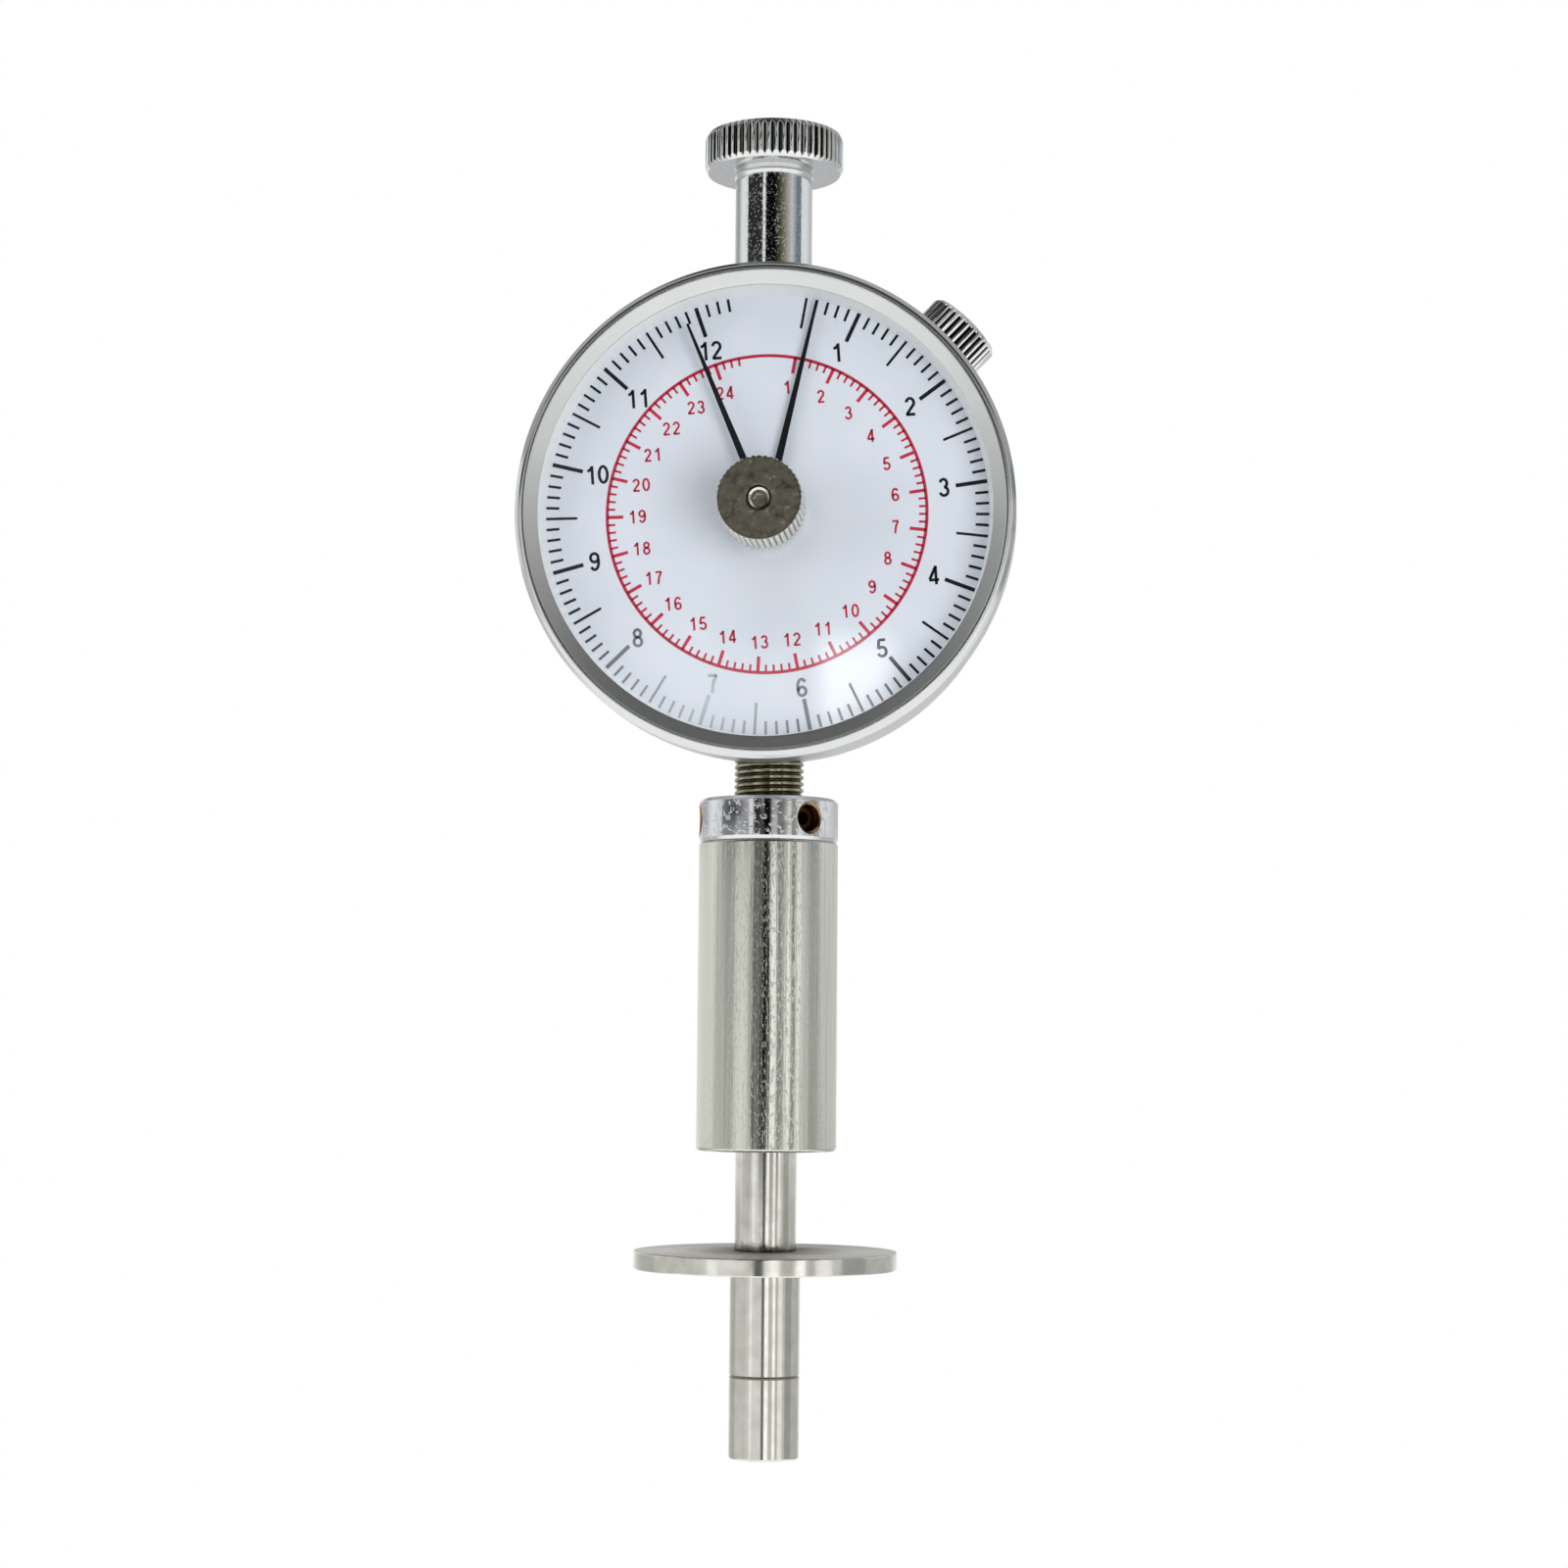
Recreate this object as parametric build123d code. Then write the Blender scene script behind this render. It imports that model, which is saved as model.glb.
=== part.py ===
from build123d import *
import math
import os

# Hand-held fruit hardness tester. Millimetres, +Z up along the spindle, the dial faces -Y.
# The origin is the centre of the flat face that is pressed into the fruit.

# Pressing head, splash disc and plunger
HEAD_DIAMETER = 8.0
HEAD_LENGTH = 21.2
HEAD_EDGE = 0.3
MARK_HEIGHT = 9.2
MARK_WIDTH = 0.4
MARK_DEPTH = 0.16
DISC_DIAMETER = 30.0
DISC_THICKNESS = 2.0
DISC_EDGE = 0.15
ROD_DIAMETER = 7.0
STROKE = 10.2
STROKE_SPARE = 1.1
STUD_DIAMETER = 4.0
STUD_LENGTH = 8.0
FLANGE_GAP = 0.4
FLANGE_THICKNESS = 2.5
PILOT_GAP = 0.6
PILOT_LENGTH = 3.0

# Spring sleeve, its bush and the main spring
SLEEVE_DIAMETER = 16.0
SLEEVE_LENGTH = 35.2
SLEEVE_WALL = 1.2
SLEEVE_ROOF = 4.0
SLEEVE_EDGE = 0.3
SLEEVE_BUSH_LENGTH = 5.8
SPANNER_HOLE = 1.6
SPANNER_HOLE_DEPTH = 2.5
STOP_GAP = 0.2
SPRING_WIRE = 1.6
SPRING_GAP = 0.3
SPRING_TURNS = 6
SPRING_SEAT_THICKNESS = 1.2

# Neck and lock ring
NECK_DIAMETER = 8.0
NECK_SHOWING = 4.6
LOCK_RING_HEIGHT = 4.95
LOCK_RING_EDGE = 0.4
GRUB_DIAMETER = 3.0
GRUB_LENGTH = 3.1
GRUB_SOCKET = 1.5
GRUB_SOCKET_DEPTH = 1.3
GRUB_COUNT = 3
GRUB_FIRST_ANGLE = 41.0

# Spindle rod and its guides
SPINDLE_DIAMETER = 3.5
SPINDLE_GAP = 0.25
SPINDLE_SOCKET_DEPTH = 6.0
SPINDLE_OVER_BUSH = 1.5
GUIDE_BUSH_WALL = 0.45
GUIDE_BUSH_LENGTH = 4.0
SPIGOT_WALL = 0.4
GUIDE_PIN_DIAMETER = 1.2
FORK_GAP = 0.65
FORK_THICKNESS = 2.8
FORK_DEPTH_BEHIND = 2.2
FORK_END_WALL = 1.0
FORK_TOP_GAP = 0.5

# Top stem and top knob
STEM_DIAMETER = 9.0
STEM_SHOWING = 13.3
STEM_ROOF = 0.9
STEM_TIP_DIAMETER = 6.4
STEM_TIP_LENGTH = 2.5
TOP_KNOB_DIAMETER = 16.2
TOP_KNOB_HEIGHT = 4.4
TOP_KNOB_EDGE = 0.55
TOP_KNOB_TEETH = 56
TOP_KNOB_GROOVE = 0.3

# Bezel, and the case set back behind it
BEZEL_RADIUS = 28.5
BEZEL_WALL = 1.1
BEZEL_FACE = 1.0
BEZEL_EDGE = 0.42
BEZEL_GAP = 0.15
LIP_STEP = 0.5
LIP_HEIGHT = 0.8
CASE_STEP = 1.25
CASE_WALL = 2.0
CASE_DEPTH = 9.0
CASE_EDGE = 0.5
STEM_BOSS_HEIGHT = 0.95
NECK_BOSS_HEIGHT = 0.5
BOSS_MARGIN = 0.2
INNER_BOSS_WIDTH = 11.0
INNER_BOSS_DEPTH = 5.0
SKIRT_GAP = 0.2
COVER_THICKNESS = 1.4
COVER_RIM = 0.35
COVER_EDGE = 0.6
LUG_DIAMETER = 6.0
LUG_INSET = 2.75
LUG_LENGTH = 5.0
LUG_COUNT = 4
POST_DIAMETER = 5.0
POST_INSET = 5.75
POST_ARM_DEPTH = 1.0
POST_ANGLES = (0, 135, 225)

# Movement, from the spindle forward: cock, pinion, plate, dial, pointers, crystal
COCK_GAP = 0.25
COCK_THICKNESS = 0.6
COCK_EDGE = 1.2
COCK_MARGIN = 0.4
COCK_FORK_GAP = 0.3
PILLAR_DIAMETER = 2.4
PILLAR_SPREAD = 4.6
PINION_GAP = 0.3
PINION_WIDTH = 1.3
PLATE_GAP = 0.2
PLATE_THICKNESS = 0.8
PLATE_INSET = 2.85
DIAL_GAP = 0.35
DIAL_THICKNESS = 0.5
DIAL_HOLE = 5.0
SLOPE_FOOT = 1.1
SLOPE_STEP = 0.05
CARRIER_FLANGE = 0.6
SKIRT_THICKNESS = 0.8
SKIRT_LENGTH = 1.75
WIRE_THICKNESS = 0.7
WIRE_SETBACK = 0.85
WIRE_ARC = 320.0
HUB_GAP = 0.25
HUB_DIAMETER = 3.4
HUB_HEIGHT = 0.4
HUB_SPIGOT = 2.2
POINTER_THICKNESS = 0.25
POINTER_GAP = 0.55
POINTER_HUB_WIDTH = 1.0
POINTER_TIP_WIDTH = 0.3
POINTER_EYE = 4.2
POINTER_TAIL = 3.6
DRIVE_POINTER_MARGIN = 1.1
DRIVE_POINTER_ANGLE = 13.0
PEAK_POINTER_MARGIN = 2.7
PEAK_POINTER_ANGLE = -22.8
CATCH_RADIUS = 3.2
CATCH_DIAMETER = 0.6
CATCH_GAP = 0.2
CRYSTAL_THICKNESS = 1.2

# Rack, pinion and arbour; tooth heights are in modules
MODULE = 0.25
PINION_TEETH = 14
PRESSURE_ANGLE = 20.0
BACKLASH = 0.05
RACK_ADDENDUM = 0.8 * MODULE
RACK_DEDENDUM = 1.28 * MODULE
PINION_DEDENDUM = 1.08 * MODULE
FLANK_POINTS = 4
RACK_BACKING = 1.2
RACK_OVERRUN = 1.7
RACK_DEPTH_BEHIND = 1.2
JOURNAL_DIAMETER = 2.0
PIVOT_DIAMETER = 0.8
ARBOUR_TIP_DIAMETER = 1.4
FRONT_BUSH_DIAMETER = 4.0
REAR_BUSH_DIAMETER = 1.8

# Reset knob on the crystal
RESET_KNOB_DIAMETER = 9.7
RESET_KNOB_HEIGHT = 6.65
RESET_KNOB_LIFT = 0.15
RESET_KNOB_EDGE = 0.25
RESET_KNOB_TEETH = 44
RESET_KNOB_GROOVE = 0.22
RESET_SHAFT_DIAMETER = 2.4
RESET_COLLAR_DIAMETER = 3.8
RESET_COLLAR = 0.32
RESET_SPIGOT = 2.0
CRYSTAL_BUSH_DIAMETER = 4.4
CRYSTAL_BUSH_FLANGE = 7.0
CRYSTAL_BUSH_RIVET = 6.0
CRYSTAL_BUSH_RIM = 0.3
WASHER_THICKNESS = 0.2
WASHER_MARGIN = 0.1
KNOB_RECESS_GAP = 0.3
KNOB_FLOOR = 0.9
KNOB_SCREW_HEAD = 2.5
KNOB_SCREW_HEIGHT = 0.6
KNOB_SCREW_SINK = 1.0
KNOB_SCREW_SHANK = 1.2
KNOB_SCREW_LENGTH = 2.4

# Dial clamp on the case's side
CLAMP_ANGLE = 44.0
CLAMP_DEPTH = 1.0
CLAMP_BOSS_DIAMETER = 7.0
CLAMP_BOSS_HEIGHT = 0.95
CLAMP_KNOB_DIAMETER = 9.2
CLAMP_KNOB_LENGTH = 4.7
CLAMP_KNOB_DOME = 1.0
CLAMP_KNOB_EDGE = 0.45
CLAMP_KNOB_TEETH = 32
CLAMP_KNOB_GROOVE = 0.36
CLAMP_STUD_DIAMETER = 3.0
CLAMP_STUD_IN_KNOB = 3.5
CLAW_THICKNESS = 1.0
CLAW_WIDTH = 5.0
CLAW_NOSE = 0.45
CLAW_NOSE_LENGTH = 1.0
CLAW_DEPTH_BEHIND = 3.0
CLAW_TRAVEL = 0.25
CLAW_END_GAP = 0.1

# Small screws and clearances
SCREW_HEAD = 3.2
SCREW_SHANK = 1.5
SCREW_SINK = 0.85
SCREW_LENGTH = 4.5
SMALL_SCREW_HEAD = 1.9
SMALL_SCREW_SHANK = 0.9
SMALL_SCREW_SINK = 0.5
SMALL_SCREW_LENGTH = 2.0
FIT = 0.02
RUN = 0.03
CLEAR = 0.15

# Radii and bores that follow from the sizes above
sleeve_bore = SLEEVE_DIAMETER - 2 * SLEEVE_WALL
spring_mean = sleeve_bore - 2 * SPRING_GAP - SPRING_WIRE
spring_inside = spring_mean - SPRING_WIRE
flange_diameter = sleeve_bore - 2 * FLANGE_GAP
pilot_diameter = spring_inside - 2 * PILOT_GAP
guide_bush_diameter = SPINDLE_DIAMETER + 2 * GUIDE_BUSH_WALL
spindle_bore = SPINDLE_DIAMETER + 2 * SPINDLE_GAP
spigot_diameter = guide_bush_diameter + 2 * SPIGOT_WALL
case_radius = BEZEL_RADIUS - CASE_STEP
case_bore = case_radius - CASE_WALL
post_circle = case_bore - POST_INSET
lug_circle = case_bore - LUG_INSET
plate_radius = case_bore - PLATE_INSET
skirt_radius = case_bore - RUN
skirt_bore = skirt_radius - SKIRT_THICKNESS
bezel_bore = BEZEL_RADIUS - BEZEL_WALL
bezel_mouth = BEZEL_RADIUS - BEZEL_FACE
lip_radius = bezel_mouth - LIP_STEP
slope_top = lip_radius - SLOPE_STEP
dial_showing = bezel_bore - SLOPE_FOOT
pitch_radius = MODULE * PINION_TEETH / 2
rack_face = pitch_radius - RACK_ADDENDUM
rack_root = pitch_radius + RACK_DEDENDUM
rack_outer = rack_root + RACK_BACKING
fork_left = SPINDLE_DIAMETER / 2 + FORK_GAP
cock_right = fork_left - COCK_FORK_GAP
cock_half_height = PILLAR_SPREAD + PILLAR_DIAMETER / 2 + COCK_MARGIN

# Heights along the spindle
disc_bottom = HEAD_LENGTH
disc_top = disc_bottom + DISC_THICKNESS
sleeve_bottom = disc_top + STROKE + STROKE_SPARE
sleeve_bush_top = sleeve_bottom + SLEEVE_BUSH_LENGTH
flange_bottom = sleeve_bush_top + STOP_GAP
flange_top = flange_bottom + FLANGE_THICKNESS
sleeve_top = sleeve_bottom + SLEEVE_LENGTH
sleeve_ceiling = sleeve_top - SLEEVE_ROOF
spring_top = sleeve_ceiling - SPRING_SEAT_THICKNESS
lock_ring_top = sleeve_top + LOCK_RING_HEIGHT
neck_shoulder = lock_ring_top + NECK_SHOWING
dial_height = neck_shoulder + NECK_BOSS_HEIGHT + case_radius
stem_foot = dial_height + case_radius + STEM_BOSS_HEIGHT
top_knob_bottom = stem_foot + STEM_SHOWING
top_knob_top = top_knob_bottom + TOP_KNOB_HEIGHT
boss_reach = math.sqrt(case_bore ** 2 - (INNER_BOSS_WIDTH / 2) ** 2) - GUIDE_BUSH_LENGTH
boss_inner_top = dial_height + boss_reach
boss_inner_bottom = dial_height - boss_reach
fork_top = boss_reach - FORK_TOP_GAP
guide_pin_height = fork_top - FORK_END_WALL - 2 * CLEAR - GUIDE_PIN_DIAMETER / 2 - STROKE

# Depths, counted forward from the spindle's axis
cock_back = SPINDLE_DIAMETER / 2 + COCK_GAP
cock_front = cock_back + COCK_THICKNESS
pinion_back = cock_front + PINION_GAP
pinion_front = pinion_back + PINION_WIDTH
plate_back = pinion_front + PLATE_GAP
plate_front = plate_back + PLATE_THICKNESS
dial_back = plate_front + DIAL_GAP
dial_front = dial_back + DIAL_THICKNESS
hub_back = dial_front + HUB_GAP
drive_pointer_back = hub_back + HUB_HEIGHT
drive_pointer_front = drive_pointer_back + POINTER_THICKNESS
peak_pointer_back = drive_pointer_front + POINTER_GAP
peak_pointer_front = peak_pointer_back + POINTER_THICKNESS
collar_front = peak_pointer_front + RESET_COLLAR
crystal_back = collar_front + RUN + CRYSTAL_BUSH_RIM
crystal_front = crystal_back + CRYSTAL_THICKNESS
bezel_front = crystal_front + LIP_HEIGHT
bush_front = crystal_front + CRYSTAL_BUSH_RIM
washer_back = bush_front + RUN
recess_floor = washer_back + WASHER_THICKNESS
reset_knob_back = crystal_front + RESET_KNOB_LIFT
reset_knob_front = reset_knob_back + RESET_KNOB_HEIGHT
screw_seat = reset_knob_front - KNOB_SCREW_SINK
shaft_front = screw_seat - KNOB_FLOOR
carrier_back = dial_back - CARRIER_FLANGE
skirt_back = carrier_back - SKIRT_LENGTH
case_front = carrier_back - BEZEL_GAP
boss_front = skirt_back - SKIRT_GAP
case_back = -CASE_DEPTH
cover_back = case_back - COVER_THICKNESS
wire_depth = carrier_back - WIRE_SETBACK
wire_groove = WIRE_THICKNESS / 2 + CLEAR

# Places along the clamp's screw, counted out from the dial's axis
clamp_knob_foot = case_radius + CLAMP_BOSS_HEIGHT + RUN
clamp_stud_end = clamp_knob_foot + CLAMP_STUD_IN_KNOB

# Frames: the dial's has z towards the reader, the clamp's has z outwards along its screw
DIAL = Plane(origin=(0, 0, dial_height), x_dir=(1, 0, 0), z_dir=(0, -1, 0)).location
CLAMP_TURN = math.radians(CLAMP_ANGLE)
CLAMP = Plane(
    origin=(0, CLAMP_DEPTH, dial_height),
    x_dir=(math.cos(CLAMP_TURN), 0, -math.sin(CLAMP_TURN)),
    z_dir=(math.sin(CLAMP_TURN), 0, math.cos(CLAMP_TURN)),
).location


def turned(points):
    """A solid turned about Z from a closed outline of (radius, height) points."""
    outline = Polyline(*[(radius, 0, height) for radius, height in points], close=True)
    return revolve(make_face(outline), Axis.Z)


def rod(diameter, bottom, top):
    """A round bar on Z."""
    upright = (Align.CENTER, Align.CENTER, Align.MIN)
    return Pos(0, 0, bottom) * Cylinder(diameter / 2, top - bottom, align=upright)


def tube(inner, outer, bottom, top):
    """A round tube on Z, given by its two diameters."""
    return turned([(inner / 2, bottom), (outer / 2, bottom), (outer / 2, top), (inner / 2, top)])


def block(x_low, x_high, y_low, y_high, z_low, z_high):
    """A box given by its faces."""
    low_corner = (Align.MIN, Align.MIN, Align.MIN)
    return Pos(x_low, y_low, z_low) * Box(x_high - x_low, y_high - y_low, z_high - z_low, align=low_corner)


def polar(radius, degrees):
    """A place on the dial, counted anticlockwise from three o'clock."""
    return Pos(radius * math.cos(math.radians(degrees)), radius * math.sin(math.radians(degrees)), 0)


def knurled(diameter, groove, teeth, bottom, top):
    """A bar with straight V-shaped knurling along its side."""
    crest = diameter / 2
    points = []
    for tooth in range(2 * teeth):
        angle = math.pi * tooth / teeth
        radius = crest if tooth % 2 == 0 else crest - groove
        points.append((radius * math.cos(angle), radius * math.sin(angle)))
    return Pos(0, 0, bottom) * extrude(make_face(Polyline(*points, close=True)), top - bottom, dir=(0, 0, 1))


def countersunk(head, shank, sink, length, spare=0.0):
    """A flat-headed screw on Z with its face at zero, pointing down; spare widens it into its own hole."""
    flare = (head - shank) / 2 / sink
    return turned([
        (0, spare),
        (head / 2 + spare + flare * spare, spare),
        (shank / 2 + spare, -sink),
        (shank / 2 + spare, -length - spare),
        (0, -length - spare),
    ])


def screw(spare=0.0):
    return countersunk(SCREW_HEAD, SCREW_SHANK, SCREW_SINK, SCREW_LENGTH, spare)


def small_screw(spare=0.0):
    return countersunk(SMALL_SCREW_HEAD, SMALL_SCREW_SHANK, SMALL_SCREW_SINK, SMALL_SCREW_LENGTH, spare)


def pressing_head():
    radius = HEAD_DIAMETER / 2
    hole = STUD_DIAMETER / 2 + FIT
    hole_floor = HEAD_LENGTH - STUD_LENGTH - FIT
    return turned([
        (0, 0),
        (radius - HEAD_EDGE, 0),
        (radius, HEAD_EDGE),
        (radius, MARK_HEIGHT - MARK_WIDTH / 2),
        (radius - MARK_DEPTH, MARK_HEIGHT),
        (radius, MARK_HEIGHT + MARK_WIDTH / 2),
        (radius, HEAD_LENGTH - HEAD_EDGE),
        (radius - HEAD_EDGE, HEAD_LENGTH),
        (hole, HEAD_LENGTH),
        (hole, hole_floor),
        (0, hole_floor),
    ])


def splash_disc():
    radius = DISC_DIAMETER / 2
    hole = STUD_DIAMETER / 2 + FIT
    return turned([
        (hole, disc_bottom),
        (radius - DISC_EDGE, disc_bottom),
        (radius, disc_bottom + DISC_EDGE),
        (radius, disc_top - DISC_EDGE),
        (radius - DISC_EDGE, disc_top),
        (hole, disc_top),
    ])


def plunger():
    """The lower rod: threaded stud for the head, guided length, stop flange and the spring's pilot."""
    socket = SPINDLE_DIAMETER / 2 + FIT
    pilot_top = flange_top + PILOT_LENGTH
    socket_floor = pilot_top - SPINDLE_SOCKET_DEPTH
    return turned([
        (0, disc_bottom - STUD_LENGTH),
        (STUD_DIAMETER / 2, disc_bottom - STUD_LENGTH),
        (STUD_DIAMETER / 2, disc_top),
        (ROD_DIAMETER / 2, disc_top),
        (ROD_DIAMETER / 2, flange_bottom),
        (flange_diameter / 2, flange_bottom),
        (flange_diameter / 2, flange_top),
        (pilot_diameter / 2, flange_top),
        (pilot_diameter / 2, pilot_top),
        (socket, pilot_top),
        (socket, socket_floor),
        (0, socket_floor),
    ])


def rack_span():
    """Heights of the rack's ends above the dial's centre, at rest."""
    return -STROKE - RACK_OVERRUN, RACK_OVERRUN


def rack_screw_heights():
    low, high = rack_span()
    quarter = (high - low) / 4
    return low + quarter, high - quarter


def rack_screw_place(height):
    """A frame on the rack's outer face, with z pointing out of it to the left."""
    return Plane(origin=(-rack_outer, 0, dial_height + height), x_dir=(0, 1, 0), z_dir=(-1, 0, 0)).location


def spindle_rod():
    """The upper rod, with a flat and tapped holes for the rack and a cross hole for the guide pin."""
    low, high = rack_span()
    bottom = flange_top + PILOT_LENGTH - SPINDLE_SOCKET_DEPTH
    top = boss_inner_top + GUIDE_BUSH_LENGTH + SPINDLE_OVER_BUSH
    bar = rod(SPINDLE_DIAMETER, bottom, top)
    half = SPINDLE_DIAMETER / 2
    flat_low = dial_height + low - FIT
    flat_high = dial_height + high + FIT
    flat = block(-SPINDLE_DIAMETER, -rack_face, -half, half, flat_low, flat_high)
    body = bar - flat - guide_pin(FIT)
    for height in rack_screw_heights():
        body -= rack_screw_place(height) * small_screw(FIT)
    return body


def guide_pin(spare=0.0):
    """The cross pin that runs in the fork."""
    tip = fork_left + FORK_THICKNESS - FORK_END_WALL / 2
    place = Plane(origin=(0, 0, dial_height + guide_pin_height), x_dir=(0, 1, 0), z_dir=(1, 0, 0)).location
    return place * rod(GUIDE_PIN_DIAMETER + 2 * spare, -SPINDLE_DIAMETER / 4 - spare, tip)


def rack():
    """A bar screwed to the spindle's flat, with teeth along the front of its inner face."""
    low, high = rack_span()
    pitch = math.pi * MODULE
    slope = math.tan(math.radians(PRESSURE_ANGLE))
    half_tooth = pitch / 4 - BACKLASH / 4
    half_tip = half_tooth - RACK_ADDENDUM * slope
    half_root = half_tooth + RACK_DEDENDUM * slope
    points = [(-rack_outer, low), (-rack_root, low)]
    first = math.ceil((low + half_root) / pitch - 0.5)
    last = math.floor((high - half_root) / pitch - 0.5)
    for tooth in range(first, last + 1):
        centre = (tooth + 0.5) * pitch
        points.append((-rack_root, centre - half_root))
        points.append((-rack_face, centre - half_tip))
        points.append((-rack_face, centre + half_tip))
        points.append((-rack_root, centre + half_root))
    points += [(-rack_root, high), (-rack_outer, high)]
    tooth_back = pinion_back - CLEAR
    toothed = extrude(make_face(Polyline(*points, close=True)), pinion_front - tooth_back, dir=(0, 0, 1))
    plain = block(-rack_outer, -rack_face, low, high, -RACK_DEPTH_BEHIND, tooth_back)
    body = DIAL * (Pos(0, 0, tooth_back) * toothed + plain)
    for height in rack_screw_heights():
        body -= rack_screw_place(height) * small_screw(FIT)
    return body


def rack_screws():
    return [rack_screw_place(height) * small_screw() for height in rack_screw_heights()]


def pinion_outline():
    """Involute teeth, one of them pointing left at the rack."""
    base = pitch_radius * math.cos(math.radians(PRESSURE_ANGLE))
    tip = pitch_radius + MODULE
    root = pitch_radius - PINION_DEDENDUM

    def involute(radius):
        angle = math.acos(min(1.0, base / radius))
        return math.tan(angle) - angle

    half_at_pitch = (math.pi * MODULE / 2 - BACKLASH / 2) / 2 / pitch_radius

    def half_angle(radius):
        return half_at_pitch + involute(pitch_radius) - involute(max(radius, base))

    radii = [root] + [base + (tip - base) * step / (FLANK_POINTS - 1) for step in range(FLANK_POINTS)]
    points = []
    for tooth in range(PINION_TEETH):
        centre = math.pi + 2 * math.pi * tooth / PINION_TEETH
        flank = [(radius, centre - half_angle(radius)) for radius in radii]
        flank += [(radius, centre + half_angle(radius)) for radius in reversed(radii)]
        points += [(radius * math.cos(angle), radius * math.sin(angle)) for radius, angle in flank]
    return make_face(Polyline(*points, close=True))


def pinion_arbour():
    teeth = Pos(0, 0, pinion_back) * extrude(pinion_outline(), PINION_WIDTH, dir=(0, 0, 1))
    pivot = rod(PIVOT_DIAMETER, cock_back, pinion_back)
    journal = rod(JOURNAL_DIAMETER, pinion_front, hub_back)
    tip = rod(ARBOUR_TIP_DIAMETER, hub_back, drive_pointer_front)
    return DIAL * (teeth + pivot + journal + tip)


def pointer_hub():
    bore = ARBOUR_TIP_DIAMETER / 2 + FIT
    return DIAL * turned([
        (bore, hub_back),
        (HUB_DIAMETER / 2, hub_back),
        (HUB_DIAMETER / 2, drive_pointer_back),
        (HUB_SPIGOT / 2, drive_pointer_back),
        (HUB_SPIGOT / 2, drive_pointer_front),
        (bore, drive_pointer_front),
    ])


def pointer_blade(length, hole, back):
    """A stamped pointer that tapers from its eye to the tip, with a short tail."""
    wide = POINTER_HUB_WIDTH / 2
    narrow = POINTER_TIP_WIDTH / 2
    blade = make_face(Polyline(
        (-wide, -POINTER_TAIL), (wide, -POINTER_TAIL), (wide, 0),
        (narrow, length), (-narrow, length), (-wide, 0), close=True,
    ))
    outline = blade + Circle(POINTER_EYE / 2) - Circle(hole / 2 + FIT)
    return Pos(0, 0, back) * extrude(outline, POINTER_THICKNESS, dir=(0, 0, 1))


def drive_pointer():
    """The pointer on the arbour, with the catch that takes the peak pointer along."""
    blade = pointer_blade(dial_showing - DRIVE_POINTER_MARGIN, HUB_SPIGOT, drive_pointer_back)
    catch_top = peak_pointer_back - CATCH_GAP
    catch = Pos(0, CATCH_RADIUS, 0) * rod(CATCH_DIAMETER, drive_pointer_front, catch_top)
    return DIAL * Rot(0, 0, -DRIVE_POINTER_ANGLE) * (blade + catch)


def peak_pointer():
    blade = pointer_blade(dial_showing - PEAK_POINTER_MARGIN, RESET_SPIGOT, peak_pointer_back)
    return DIAL * Rot(0, 0, -PEAK_POINTER_ANGLE) * blade


def sleeve_bush():
    """The plug that closes the sleeve and guides the plunger, with two holes for a pin spanner."""
    outer = sleeve_bore - 2 * FIT
    body = tube(ROD_DIAMETER + 2 * RUN, outer, sleeve_bottom, sleeve_bush_top)
    middle = (ROD_DIAMETER + sleeve_bore) / 4
    for side in (-1, 1):
        hole = rod(SPANNER_HOLE, sleeve_bottom, sleeve_bottom + SPANNER_HOLE_DEPTH)
        body -= Pos(side * middle, 0, 0) * hole
    return body


def spring_sleeve():
    radius = SLEEVE_DIAMETER / 2
    hole = NECK_DIAMETER / 2 + FIT
    bore = sleeve_bore / 2
    return turned([
        (bore, sleeve_bottom),
        (radius - SLEEVE_EDGE, sleeve_bottom),
        (radius, sleeve_bottom + SLEEVE_EDGE),
        (radius, sleeve_top - SLEEVE_EDGE),
        (radius - SLEEVE_EDGE, sleeve_top),
        (hole, sleeve_top),
        (hole, sleeve_ceiling),
        (bore, sleeve_ceiling),
    ])


def spring_seat():
    return tube(pilot_diameter, sleeve_bore - 2 * SPRING_GAP, spring_top, sleeve_ceiling)


def main_spring():
    """A coil wound as tangent arcs, two to each quarter turn."""
    radius = spring_mean / 2
    low = flange_top + SPRING_WIRE / 2 + FIT
    rise = spring_top - SPRING_WIRE / 2 - FIT - low
    steps = 4 * SPRING_TURNS
    climb = rise / steps

    def place(step):
        angle = step * math.pi / 2
        return Vector(radius * math.cos(angle), radius * math.sin(angle), low + climb * step)

    def heading(step):
        angle = step * math.pi / 2
        along = radius * math.pi / 2
        return Vector(-along * math.sin(angle), along * math.cos(angle), climb).normalized()

    def arc(start, corner, end):
        bend = (corner - start).normalized().dot((end - corner).normalized())
        half = math.sqrt((1 + bend) / 2)
        middle = corner + ((start + end) * 0.5 - corner) * (1 / (1 + half))
        return ThreePointArc(start, middle, end)

    arcs = []
    for step in range(steps):
        start, end = place(step), place(step + 1)
        out, into = heading(step), heading(step + 1)
        chord = end - start
        both = out + into
        square = both.dot(both) - 4
        reach = chord.dot(both)
        length = (reach - math.sqrt(reach * reach - square * chord.dot(chord))) / square
        first, second = start + out * length, end - into * length
        join = (first + second) * 0.5
        arcs += [arc(start, first, join), arc(join, second, end)]
    path = Wire([edge for piece in arcs for edge in piece.edges()])
    section = Plane(origin=path @ 0, z_dir=path % 0) * Circle(SPRING_WIRE / 2)
    print("least gap between coils", round(4 * climb - SPRING_WIRE, 3))
    return sweep(section, path=path)


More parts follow.
